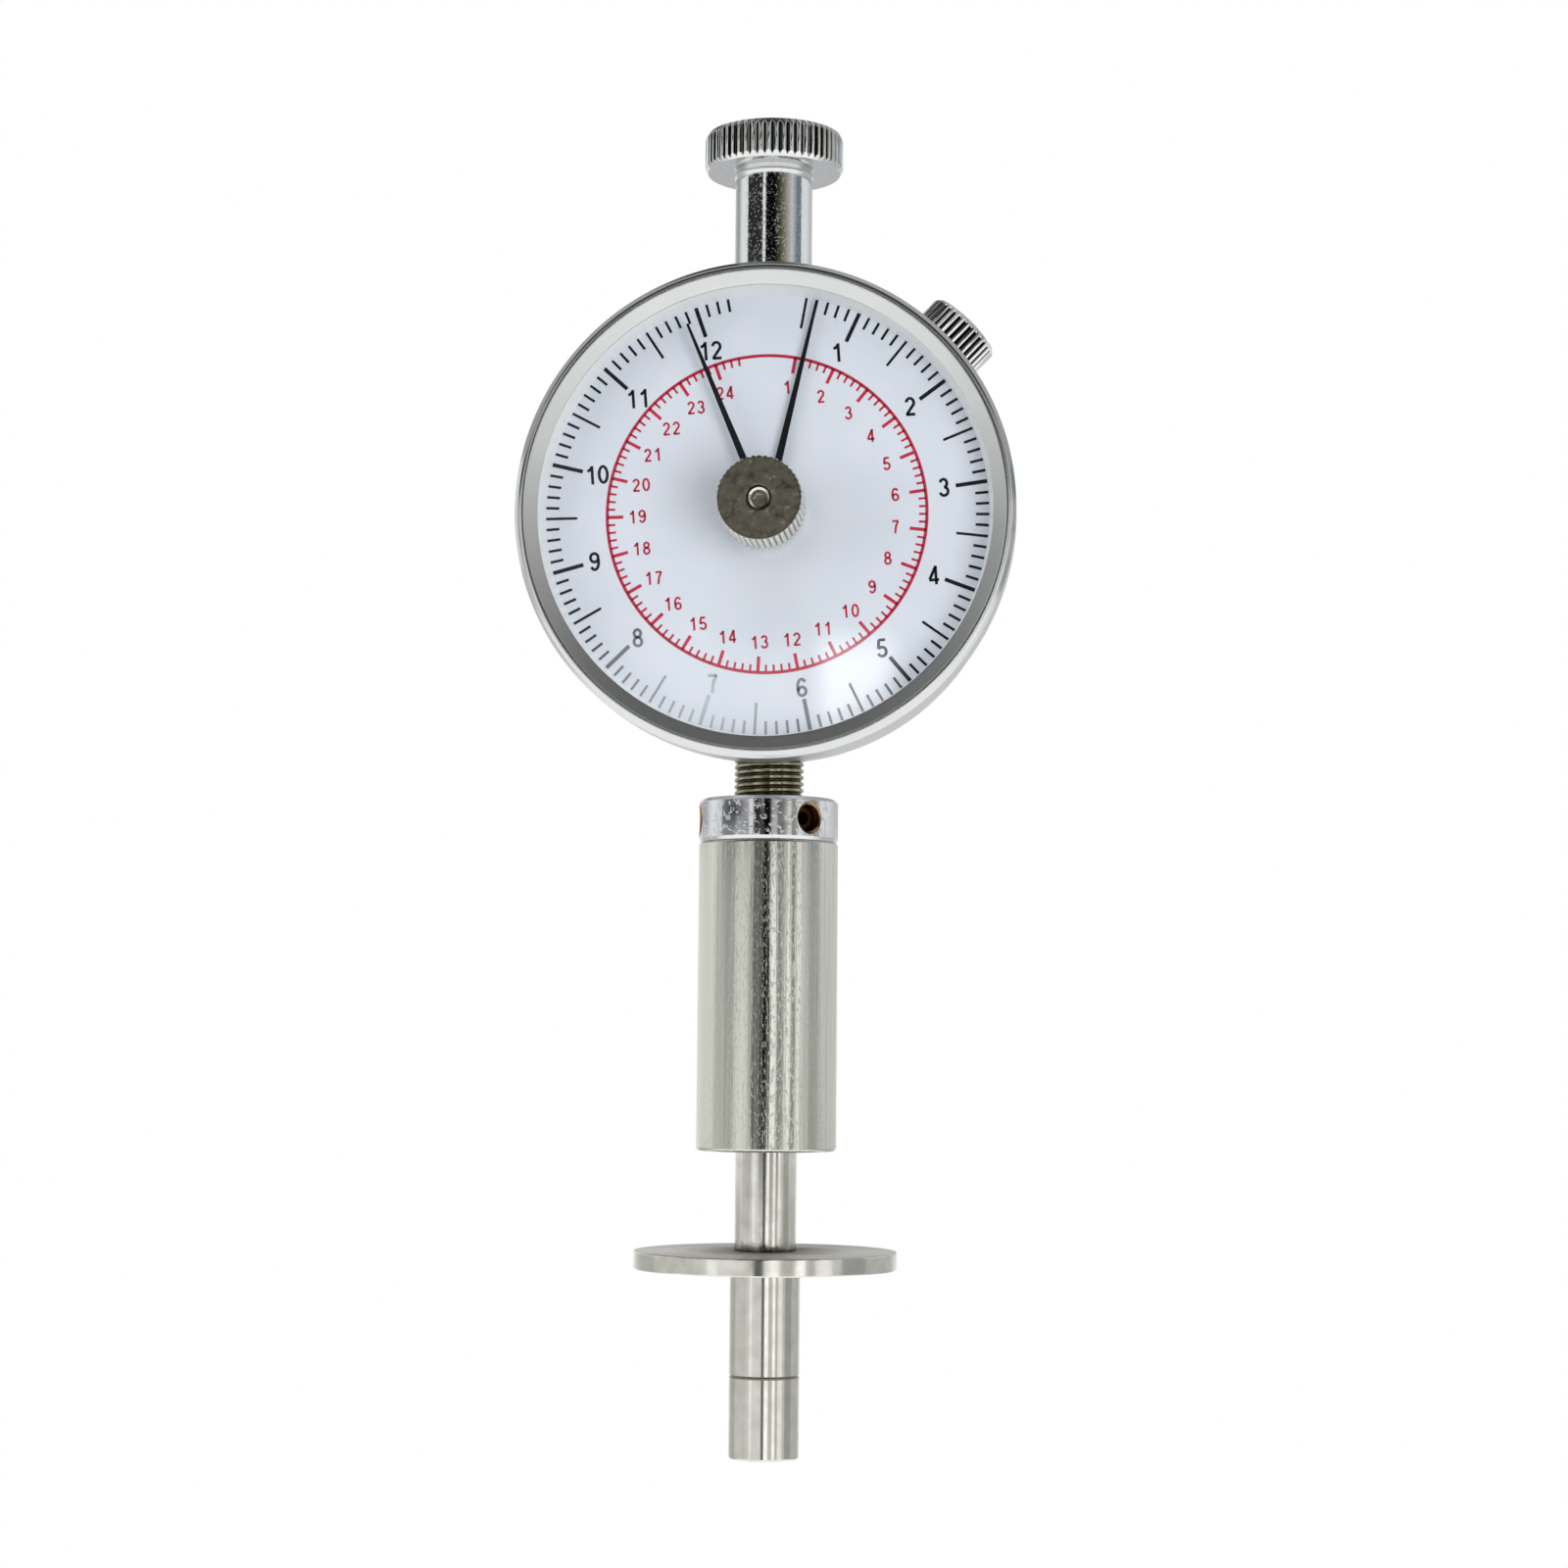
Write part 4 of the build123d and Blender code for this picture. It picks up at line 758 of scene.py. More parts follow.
def handled_nickel():
    """Nickel plate worn by fingers: dark olive, dull in patches, with a few bright nicks."""
    made, tree, shader = start_material("handled_nickel", Metallic=1.0)
    patches = blotches(tree, size=1.1, detail=6.0)
    nicks = node(tree, "MapRange", blotches(tree, size=0.8, detail=3.0), *NICKS)
    mottled = node(tree, "MapRange", patches, NOISE_LOW, NOISE_HIGH, *MOTTLED)
    worn = node(tree, "Math", nicks, NICK_SHINE, mottled, operation="MULTIPLY_ADD")
    coat(shader, colour=(worn, "35332a", "c2bdaa"), roughness=(patches, 0.44, 0.24),
         relief=(worn, 0.25, 0.04))
    return made


def bright_plate(name, speck, pitting, colour, roughness, grooves=None):
    """Bright plate on buffed brass: a mirror with faint waves and specks of pitting, darkened in its grooves
    by dirt and painted shade.
    """
    made, tree, shader = start_material(name, Metallic=1.0)
    waves = blotches(tree, size=2.2, detail=2.0)
    pits = node(tree, "MapRange", blotches(tree, size=speck, detail=3.0), *PITS)
    cover = None
    # Dirt and painted shade: the colour darkens from near the crests down to the groove bottoms, only along
    # the knurled band.
    if grooves:
        lathe, depth, crest, low, high = grooves
        radius, along = lathe_place(tree, lathe)
        sunk = node(tree, "MapRange", radius, (crest - UNSHADED_CREST * depth) * MM, (crest - depth) * MM)
        middle = (low + high) / 2 * MM
        reach = (high - low) / 2 * MM
        between = node(tree, "Math", along, middle, reach, operation="COMPARE")
        cover = (node(tree, "Math", sunk, between, operation="MULTIPLY"), GROOVE_DIRT_AND_SHADE)
    coat(shader, colour=(waves, *colour), roughness=(waves, *roughness), relief=(pits, pitting, 0.03),
         cover=cover)
    return made


worn_nickel = handled_nickel()
reset_piece = knurled("reset_button", [
    (RESET_RECESS, reset_back),
    *bevel((reset_radius - RESET_EDGE, reset_back), (reset_radius, reset_back + RESET_EDGE)),
    *bevel((reset_radius, reset_front - RESET_EDGE), (reset_radius - RESET_EDGE, reset_front)),
    (RESET_FACE_HOLE + RESET_FACE_BEVEL, reset_front, FINE_EDGE),
    (RESET_FACE_HOLE, reset_front - RESET_FACE_BEVEL, FINE_EDGE),
    (RESET_FACE_HOLE, reset_front - RESET_SCREW_SEAT),
    (RESET_SCREW_HOLE, reset_front - RESET_SCREW_SEAT),
    (RESET_SCREW_HOLE, reset_front - RESET_SHAFT_END),
    (RESET_SHAFT_HOLE, reset_front - RESET_SHAFT_END),
    (RESET_SHAFT_HOLE, reset_back + RESET_RECESS_DEPTH),
    (RESET_RECESS, reset_back + RESET_RECESS_DEPTH),
], RESET_RIDGES, RESET_GROOVE, reset_radius, worn_nickel, FACE)
# The reset knob's knurl grooves get dirt and painted shade.
reset_groove_shading = (FACE, RESET_GROOVE, reset_radius, reset_back, reset_front)
bright_nickel = bright_plate("bright_nickel", speck=0.4, pitting=0.1, colour=("dcd7c6", "f0ecdf"),
                             roughness=(0.08, 0.13), grooves=reset_groove_shading)
refinish(reset_piece, bright_nickel, lambda face: abs(face.normal.y) < WALL)
fit(reset_piece, "reset", "bright_chrome", "reset_knob")

# Knob screw: a small plated steel screw with a dished head, sunk in the reset knob's hole.
# The dish's wall shines as a ring round a deep hexagon socket.
SOCKET_RADIUS = 0.55
SOCKET_DEPTH = 0.75
SOCKET_REACH = 1.01
HEXAGON_SHRINK = 1.06
SCREW_RIM = 0.08
SCREW_RIM_WIDTH = 0.06
SCREW_DISH = 0.24
SCREW_FLOOR_RADIUS = 0.94
SCREW_SHANK = 0.6
screw_radius, screw_tip, _ = measured("knob_screw", FACE)
screw_face = reset_front - SCREW_RIM
screw_seat = reset_front - RESET_SCREW_SEAT


def hexagonal(piece, socket):
    """Draws the round socket on a piece's axis into a hexagon."""
    for vertex in piece.data.vertices:
        radius = math.hypot(vertex.co.x, vertex.co.y)
        if TINY * MM < radius <= socket * SOCKET_REACH * MM:
            turn = math.atan2(vertex.co.y, vertex.co.x) % (math.pi / 3) - math.pi / 6
            vertex.co.x /= math.cos(turn) * HEXAGON_SHRINK
            vertex.co.y /= math.cos(turn) * HEXAGON_SHRINK


knob_screw = turned("knob_screw_head", [
    (0, screw_tip),
    (SCREW_SHANK, screw_tip),
    (SCREW_SHANK, screw_seat),
    (screw_radius, screw_seat),
    (screw_radius, screw_face, FINE_EDGE),
    (screw_radius - SCREW_RIM_WIDTH, screw_face, FINE_EDGE),
    (SCREW_FLOOR_RADIUS, screw_face - SCREW_DISH),
    (SOCKET_RADIUS, screw_face - SCREW_DISH),
    (SOCKET_RADIUS, screw_face - SOCKET_DEPTH),
    (0, screw_face - SOCKET_DEPTH),
], worn_nickel, steps=72, closed=False)
hexagonal(knob_screw, SOCKET_RADIUS)
knob_screw.data.transform(FACE)
bright_screw = bright_plate("bright_screw", speck=0.4, pitting=0.05, colour=("d6d3c8", "e8e5dc"),
                            roughness=(0.1, 0.15))
refinish(knob_screw, bright_screw, lambda face: abs(face.normal.y) < WALL)
fit(knob_screw, "reset", "screw_steel", "knob_screw")

# Top stem: the bright chromed tube that the spindle's end rises into, screwed into the case's upper boss.
# Its plate is polished to a mirror, with the faint long waves of hand buffing and a few specks.
STEM_RADIUS = 4.5
COLLAR_RADIUS = 4.68
COLLAR_FOOT = 0.95
COLLAR_WIDEST = 0.55
COLLAR_NECK = 0.22
COLLAR_UNDERCUT = 0.05
STEM_TIP = 3.2
STEM_BORE = 2.0
STEM_ROOF = 0.9
SPIGOT_RADIUS = 2.6
BUSH_SEAT = 2.22
BUSH_LENGTH = 4.0
_, stem_bottom, stem_tip_top = measured("top_stem")
stem_top = measured("top_knob")[1]
stem_foot = measured("case_body")[2]
stem_chrome = bright_plate("bright_chrome_stem", speck=0.3, pitting=0.13, colour=("d8d9da", "e2e3e3"),
                           roughness=(0.04, 0.09))
stem = turned("bright_stem", [
    (0, stem_top - STEM_ROOF),
    (STEM_BORE, stem_top - STEM_ROOF),
    (STEM_BORE, stem_bottom + BUSH_LENGTH),
    (BUSH_SEAT, stem_bottom + BUSH_LENGTH),
    (BUSH_SEAT, stem_bottom),
    (SPIGOT_RADIUS, stem_bottom),
    (SPIGOT_RADIUS, stem_foot),
    (STEM_RADIUS, stem_foot),
    (STEM_RADIUS, stem_top - COLLAR_FOOT, LIGHT_EDGE),
    (COLLAR_RADIUS, stem_top - COLLAR_WIDEST, LIGHT_EDGE),
    (STEM_RADIUS - COLLAR_UNDERCUT, stem_top - COLLAR_NECK, FINE_EDGE),
    (STEM_RADIUS - COLLAR_UNDERCUT, stem_top),
    (STEM_TIP, stem_top),
    (STEM_TIP, stem_tip_top),
    (0, stem_tip_top),
], stem_chrome, steps=192, closed=False)
fit(stem, "case", "bright_chrome", "top_stem")

# Top knob: turned brass with straight knurling, bevelled at both edges and chromed.
# It is fixed on the stem's spigot and pushed with the palm, and its flat underside mirrors the stem.
TOP_RIDGES = 56
TOP_GROOVE = 0.3
TOP_UPPER_EDGE = (0.3, 0.6)
TOP_LOWER_EDGE = (0.34, 0.62)
TOP_SOCKET = 3.22
TOP_SOCKET_DEPTH = 2.52
UPWARD = 0.9
top_radius, top_bottom, top_top = measured("top_knob")
top_piece = knurled("palm_knob", [
    (TOP_SOCKET, top_bottom),
    *bevel((top_radius - TOP_LOWER_EDGE[0], top_bottom), (top_radius, top_bottom + TOP_LOWER_EDGE[1])),
    *bevel((top_radius, top_top - TOP_UPPER_EDGE[1]), (top_radius - TOP_UPPER_EDGE[0], top_top)),
    (0, top_top),
    (0, top_bottom + TOP_SOCKET_DEPTH),
    (TOP_SOCKET, top_bottom + TOP_SOCKET_DEPTH),
], TOP_RIDGES, TOP_GROOVE, top_radius, stem_chrome, UPRIGHT)
# The top knob's knurl grooves get dirt and painted shade.
top_groove_shading = (UPRIGHT, TOP_GROOVE, top_radius, top_bottom + TOP_LOWER_EDGE[1], top_top - TOP_UPPER_EDGE[1])
knurled_chrome = bright_plate("knurled_chrome", speck=0.4, pitting=0.05, colour=("dadbdc", "eaebeb"),
                              roughness=(0.03, 0.08), grooves=top_groove_shading)
refinish(top_piece, knurled_chrome, lambda face: abs(face.normal.z) < WALL)
refinish(top_piece, satin_chrome("faced_chrome", UPRIGHT, metallic=0.7), lambda face: face.normal.z > UPWARD)
fit(top_piece, "case", "bright_chrome", "top_knob")

# Neck: a steel nipple with a fine thread, screwed into the case from below, its dull nickel gone olive.
# The sleeve and its lock ring run on the thread; the grooves are cut as one helix.
THREAD_PITCH = 0.75
THREAD_DEPTH = 0.3
THREAD_FLANK = (0.14, 0.47)
OIL_AND_SHADE_DEPTH = 0.2
CREST_SHINE = 1.2
NECK_ROWS_PER_PITCH = 16
NECK_BORE = 2.0
neck_radius, neck_bottom, spigot_top = measured("threaded_neck")
neck_shoulder = measured("case_body")[1]

tree, given, place, apart, angle = start_cut("screw_thread", pitch="Float")
turns = node(tree, "Math", angle, 1 / (2 * math.pi), operation="MULTIPLY")
rise = node(tree, "Math", apart["Z"], given["Pitch"], operation="DIVIDE")
phase = node(tree, "Math", rise, turns, operation="SUBTRACT")
wave = node(tree, "Math", phase, 0.5, operation="PINGPONG")
sunk = node(tree, "MapRange", wave, *THREAD_FLANK, interpolation_type="SMOOTHSTEP")
screw_thread = end_cut(tree, given, place, apart, sunk)


def dull_nickel():
    """Old nickel on cut steel: grey-olive and half dull on the crests, dark in the grooves with oil and
    painted shade.
    """
    made, tree, shader = start_material("dull_nickel", Metallic=1.0)
    patches = blotches(tree, size=1.2, detail=3.0)
    radius, _ = lathe_place(tree, UPRIGHT)
    # Oil and painted shade: the colour darkens from the crests down into the thread's grooves.
    limits = ((neck_radius - OIL_AND_SHADE_DEPTH) * MM, neck_radius * MM)
    unshaded = node(tree, "MapRange", radius, *limits, 0.0, CREST_SHINE)
    shade = node(tree, "Math", unshaded, patches, operation="MULTIPLY")
    coat(shader, colour=(shade, "514f3a", "c6c2a6"), roughness=(patches, 0.22, 0.12))
    return made


olive_nickel = dull_nickel()
neck_rows = round((neck_shoulder - neck_bottom) / THREAD_PITCH * NECK_ROWS_PER_PITCH)
neck = turned("screw_neck", [
    (NECK_BORE, neck_bottom),
    *bevel((neck_radius, neck_bottom), (neck_radius, neck_shoulder), neck_rows),
    (SPIGOT_RADIUS, neck_shoulder),
    (SPIGOT_RADIUS, spigot_top),
    (BUSH_SEAT, spigot_top),
    (BUSH_SEAT, spigot_top - BUSH_LENGTH),
    (NECK_BORE, spigot_top - BUSH_LENGTH),
], olive_nickel, steps=144)
grown(neck, screw_thread, pitch=THREAD_PITCH * MM, depth=THREAD_DEPTH * MM, crest=neck_radius * MM,
      material=olive_nickel)
fit(neck, "case", "dark_nickel", "threaded_neck")

# Lock ring: turned steel, bevelled and chromed, that locks the sleeve on the neck's thread.
# Its plate is pitted, and three grub screws, brown with old oil, sit deep in its radial holes.
GRUB_RADIUS = 1.5
GRUB_COUNT = 3
GRUB_FIRST_ANGLE = -49.0
GRUB_INNER = 4.02
GRUB_LENGTH = 2.5
GRUB_TIP = 0.2
GRUB_EDGE = 0.25
GRUB_SOCKET = 0.78
GRUB_SOCKET_DEPTH = 1.3
RING_HOLE = 4.02
RING_EDGE = 0.4
DRILL_RADIUS = 1.52
DRILL_FLARE = 0.34
DRILL_REACH = 1
FLARE_OVERRUN = 4
SIDEWAYS = Matrix.Rotation(math.radians(90), 4, "Y")
ring_radius, ring_bottom, ring_top = measured("lock_ring")
HOLE_PLACE = Matrix.Translation((0, 0, (ring_bottom + ring_top) / 2 * MM))
pitted_chrome = bright_plate("pitted_chrome", speck=0.6, pitting=0.7, colour=("d8d9dc", "e4e5e7"),
                             roughness=(0.05, 0.1))
lock = turned("chrome_lock_ring", [
    (RING_HOLE, ring_bottom),
    (ring_radius - RING_EDGE / 2, ring_bottom, FINE_EDGE),
    (ring_radius, ring_bottom + RING_EDGE, LIGHT_EDGE),
    (ring_radius, ring_top - RING_EDGE, SOFT_EDGE),
    (ring_radius - RING_EDGE, ring_top, SOFT_EDGE),
    (RING_HOLE, ring_top),
], pitted_chrome, steps=240)


def oiled_steel(name, dark, light):
    """Blackened steel under old oil: brown, wet in places, with a golden film where light reaches it."""
    return patchy(name, size=0.7, detail=4.0, colour=(dark, light), roughness=(0.2, 0.45), Metallic=1.0)


def drill_holes(name, outline, material):
    """Cuts three radial holes of one outline into the lock ring; their walls take the material."""
    drill = turned("drill_pattern", outline, material, steps=64, closed=False, place=SIDEWAYS)
    cut_away(lock, ring(name, drill, GRUB_COUNT, GRUB_FIRST_ANGLE, material, HOLE_PLACE))


oiled_wall = oiled_steel("oiled_hole", "6a4a2e", "c8a780")
drill_holes("hole_flares", [
    (0, ring_radius - DRILL_FLARE),
    (DRILL_RADIUS, ring_radius - DRILL_FLARE),
    (DRILL_RADIUS + DRILL_FLARE, ring_radius),
    (DRILL_RADIUS + DRILL_FLARE * FLARE_OVERRUN, ring_radius + DRILL_REACH),
    (0, ring_radius + DRILL_REACH),
], oiled_wall)
drill_holes("drilled_holes", [
    (0, RING_HOLE / 2),
    (DRILL_RADIUS, RING_HOLE / 2),
    (DRILL_RADIUS, ring_radius + DRILL_REACH),
    (0, ring_radius + DRILL_REACH),
], oiled_wall)
fit(lock, "case", "bright_chrome", "lock_ring")

brown_steel = oiled_steel("oiled_grub", "20120b", "5a3c28")
grub = turned("grub_pattern", [
    (0, GRUB_INNER),
    (GRUB_RADIUS, GRUB_INNER, GRUB_TIP),
    (GRUB_RADIUS, GRUB_INNER + GRUB_LENGTH, GRUB_EDGE),
    (GRUB_SOCKET, GRUB_INNER + GRUB_LENGTH),
    (GRUB_SOCKET, GRUB_INNER + GRUB_LENGTH - GRUB_SOCKET_DEPTH),
    (0, GRUB_INNER + GRUB_LENGTH - GRUB_SOCKET_DEPTH),
], brown_steel, steps=60, closed=False)
hexagonal(grub, GRUB_SOCKET)
grub.data.transform(SIDEWAYS)
grubs = ring("grub_screws", grub, GRUB_COUNT, GRUB_FIRST_ANGLE, brown_steel, HOLE_PLACE)
fit(grubs, "case", "screw_steel", "lock_ring_screws")

# Sleeve: a drawn brass tube in nickel plate that holds the main spring, screwed on the neck.
# It was rubbed lengthwise, so fine streaks run down it, and the nickel has a warm, slightly green cast.
SLEEVE_BORE = 6.8
SLEEVE_HOLE = 4.02
SLEEVE_ROOF = 4.0
SLEEVE_EDGE = 0.35
STREAK = (0.33, 22)
FLECK = (0.2, 0.7)
CHIPS = (0.56, 0.66)
CHIP_DEPTH = 0.45
sleeve_radius, sleeve_bottom, sleeve_top = measured("spring_sleeve")


def rubbed_nickel():
    """Nickel rubbed lengthwise: greenish grey, with long streaks and fine flecks. The real scratches are too
    fine to show, so the streaks are drawn coarser, a third of a millimetre wide."""
    made, tree, shader = start_material("rubbed_nickel", Metallic=1.0)
    place = node(tree, "TexCoord").outputs["Object"]
    grains = []
    for (wide, long), detail in ((STREAK, 4.0), (FLECK, 3.0)):
        scale = (1 / (wide * MM), 1 / (wide * MM), 1 / (long * MM))
        stretched = node(tree, "Mapping", {0: place, 3: scale})
        grains.append(node(tree, "TexNoise", {"Vector": stretched, "Scale": 1.0, "Detail": detail}))
    streaks, flecks = grains
    chips = node(tree, "MapRange", flecks, *CHIPS)
    both = node(tree, "Math", chips, CHIP_DEPTH, streaks, operation="MULTIPLY_ADD")
    coat(shader, colour=(streaks, "babbb0", "ecece3"), roughness=(streaks, 0.06, 0.16),
         relief=(both, 0.45, 0.025))
    return made


sleeve = turned("nickel_sleeve", [
    (SLEEVE_BORE, sleeve_bottom),
    (sleeve_radius, sleeve_bottom, SLEEVE_EDGE),
    (sleeve_radius, sleeve_top, SLEEVE_EDGE),
    (SLEEVE_HOLE, sleeve_top),
    (SLEEVE_HOLE, sleeve_top - SLEEVE_ROOF),
    (SLEEVE_BORE, sleeve_top - SLEEVE_ROOF),
], rubbed_nickel(), steps=192)
fit(sleeve, "case", "satin_nickel", "spring_sleeve")
paint(screw_steel, "spring_seat")

# Main spring: oil-tempered wire wound with even pitch, between the plunger's flange and a seat in the sleeve.
# Its upper end stays on the seat, and the whole coil shortens by the stroke when the head is pushed in.
coil = finer_copy("coil_spring", "main_spring", tempered)
fit(coil, "case", "spring_steel", "main_spring")
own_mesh(coil)

# Plunger: the ground stainless rod that the head and disc are screwed to, guided in the sleeve's bush.
# Inside, its flange carries the main spring and stops the stroke; the spindle rod is pressed into its end.
# Juice stain and painted shadow at the rod's foot: how high they reach, the share of that height that is
# fully dark, and their colour.
FOOT_STAIN_AND_SHADE_HEIGHT = 2.6
FOOT_STAIN_AND_SHADE_FULL = 0.4
FOOT_JUICE_AND_SHADE = "352c20"
disc_low, disc_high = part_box("splash_disc")


def turned_stainless(name, foot=None):
    """Stainless steel turned and polished: warm light grey and satin, with fine rings; it may be darkened at
    its foot by dried juice and painted shadow.
    """
    made, tree, shader = start_material(name, Metallic=1.0)
    lines = turning_lines(tree, spacing=0.16, lathe=UPRIGHT)
    patches = blotches(tree, size=1.8, detail=4.0)
    cover = None
    # Juice stain and painted shadow: dark brown up from the foot, with a ragged top edge.
    if foot:
        _, along = lathe_place(tree, UPRIGHT)
        foot_edge_noise = blotches(tree, size=0.9, detail=4.0)
        ragged = node(tree, "Math", foot_edge_noise, FOOT_STAIN_AND_SHADE_HEIGHT * MM, along, operation="MULTIPLY_ADD")
        ends = (foot + FOOT_STAIN_AND_SHADE_FULL * FOOT_STAIN_AND_SHADE_HEIGHT * MM, foot + FOOT_STAIN_AND_SHADE_HEIGHT * MM)
        cover = (node(tree, "MapRange", ragged, *ends, 1.0, 0.0), FOOT_JUICE_AND_SHADE)
    coat(shader, colour=(patches, "c4c3b9", "f4f3ec"), roughness=(patches, 0.14, 0.07),
         relief=(lines, 0.04, 0.01), cover=cover)
    return made


stainless = turned_stainless("turned_stainless")
# The rod is darkened at its foot by a juice stain and painted shadow.
rod = finer_copy("plunger_rod", "plunger", turned_stainless("stained_stainless", disc_high.z))
fit(rod, "spindle", "stainless_steel", "plunger")
paint(stainless, "spindle_rod", "guide_pin", "clamp_claw", "reset_shaft")

# Splash disc: a stainless washer that keeps the juice off the hand, turned on both faces.
# It is clamped between the head and the rod's shoulder.
STUD_HOLE = 2.02
DARK_REFLECTION_FROM = 5.0
DARK_REFLECTION_END = 13.0
DARK_REFLECTION_RAGGED = 4.0
RING_SHADE = 0.3
METAL_SHOWS = (0.3, 0.8)
DULLED = (0.65, 0.4)
disc_radius = (disc_high.y - disc_low.y) / 2 / MM
disc_bottom = disc_low.z / MM
disc_top = disc_high.z / MM


def faced_stainless():
    """Stainless faced on the lathe: its rings drag each reflection across them, and near the rod a painted
    dark reflection and shadow of the rod and sleeve darken and dull it."""
    made, tree, shader = start_material("faced_stainless", Anisotropic=0.6)
    place = node(tree, "TexCoord").outputs["Object"]
    lines = turning_lines(tree, spacing=0.12, lathe=UPRIGHT)
    radius, _ = lathe_place(tree, UPRIGHT)
    rod_edge_noise = blotches(tree, size=2.0, detail=4.0)
    # Painted reflection and shadow: near the rod the disc is darker, less metallic and rougher, with a ragged
    # edge.
    ragged = node(tree, "Math", rod_edge_noise, DARK_REFLECTION_RAGGED * MM, radius, operation="MULTIPLY_ADD")
    unshaded = node(tree, "MapRange", ragged, DARK_REFLECTION_FROM * MM, DARK_REFLECTION_END * MM)
    shade = node(tree, "Math", lines, RING_SHADE, unshaded, operation="MULTIPLY_ADD")
    coat(shader, colour=(shade, "39352c", "d8d6d0"))
    wire(shader, {
        "Metallic": node(tree, "MapRange", unshaded, 0.0, 1.0, *METAL_SHOWS),
        "Roughness": node(tree, "MapRange", unshaded, 0.0, 1.0, *DULLED),
        "Tangent": node(tree, "Mapping", {0: place, 3: (1, 1, 0)}),
    })
    return made


disc = turned("juice_disc", [
    (STUD_HOLE, disc_bottom),
    (disc_radius, disc_bottom, SOFT_EDGE),
    (disc_radius, disc_top, SOFT_EDGE),
    (STUD_HOLE, disc_top),
], faced_stainless(), steps=224)
refinish(disc, stainless, lambda face: abs(face.normal.z) < WALL)
fit(disc, "spindle", "stainless_steel", "splash_disc")

# Pressing head: a solid stainless plug with a flat end, screwed on the rod's stud.
# A fine turned groove, its faces coloured darker and duller than the rest, marks how deep it goes into the
# fruit.
MARK_HEIGHT = 9.2
MARK_WIDTH = 0.36
MARK_DEPTH = 0.22
HEAD_EDGE = 0.25
STUD_DEPTH = 8.02
head_radius, _, head_top = measured("pressing_head")
head = turned("fruit_head", [
    (0, 0),
    (head_radius, 0, HEAD_EDGE),
    (head_radius, MARK_HEIGHT - MARK_WIDTH / 2),
    (head_radius - MARK_DEPTH, MARK_HEIGHT),
    (head_radius, MARK_HEIGHT + MARK_WIDTH / 2),
    (head_radius, head_top, HEAD_EDGE),
    (STUD_HOLE, head_top),
    (STUD_HOLE, head_top - STUD_DEPTH),
    (0, head_top - STUD_DEPTH),
], stainless, closed=False)
refinish(head, oiled_steel("oiled_mark", "a8a396", "ccc7ba"),
         lambda face: abs(face.center.z - MARK_HEIGHT * MM) < MARK_WIDTH / 2 * MM)
fit(head, "spindle", "stainless_steel", "pressing_head")

# Clamp knob: a knurled and chromed brass nut with a domed end, on the stud of the claw that grips the dial.
# It stands on a boss of the case, upper right, behind the bezel.
CLAMP_ANGLE = math.radians(44)
CLAMP_SETBACK = 1.0
CLAMP_RIDGES = 32
CLAMP_GROOVE = 0.42
CLAMP_SHADED_SHARE = 0.6
CLAMP_RADIUS = 4.6
CLAMP_EDGE = 0.45
CLAMP_FOOT = 28.23
CLAMP_LENGTH = 4.3
CLAMP_DOME = 0.55
CLAMP_HOLE = 1.53
CLAMP_HOLE_END = 32.13
CLAMP_FRAME = Matrix.Translation((0, CLAMP_SETBACK * MM, DIAL_HEIGHT)) @ Matrix.Rotation(CLAMP_ANGLE, 4, "Y")
DOME_STEPS = 8
shoulder = CLAMP_FOOT + CLAMP_LENGTH
rim = CLAMP_RADIUS - CLAMP_EDGE
dome_radius = (rim ** 2 + CLAMP_DOME ** 2) / (2 * CLAMP_DOME)
dome_swings = [math.asin(rim / dome_radius) * (1 - step / DOME_STEPS) for step in range(DOME_STEPS + 1)]
clamp_piece = knurled("clamp_nut_knob", [
    (CLAMP_HOLE, CLAMP_FOOT),
    *bevel((rim, CLAMP_FOOT), (CLAMP_RADIUS, CLAMP_FOOT + CLAMP_EDGE)),
    *bevel((CLAMP_RADIUS, shoulder - CLAMP_EDGE), (rim, shoulder))[:-1],
    *[(dome_radius * math.sin(swing), shoulder + CLAMP_DOME - dome_radius * (1 - math.cos(swing)))
      for swing in dome_swings],
    (0, CLAMP_HOLE_END),
    (CLAMP_HOLE, CLAMP_HOLE_END),
], CLAMP_RIDGES, CLAMP_GROOVE, CLAMP_RADIUS, stem_chrome, CLAMP_FRAME)
clamp_axis = CLAMP_FRAME.to_3x3() @ Vector((0, 0, 1))
# The clamp knob's knurl grooves get dirt and painted shade over a share of their depth.
clamp_groove_shading = (CLAMP_FRAME, CLAMP_SHADED_SHARE * CLAMP_GROOVE, CLAMP_RADIUS, CLAMP_FOOT, shoulder - CLAMP_EDGE)
clamp_chrome = bright_plate("clamp_chrome", speck=0.4, pitting=0.0, colour=("e6e7e8", "f2f3f3"),
                            roughness=(0.02, 0.07), grooves=clamp_groove_shading)
refinish(clamp_piece, clamp_chrome, lambda face: abs(face.normal.dot(clamp_axis)) < WALL)
fit(clamp_piece, "clamp_nut", "bright_chrome", "clamp_knob")

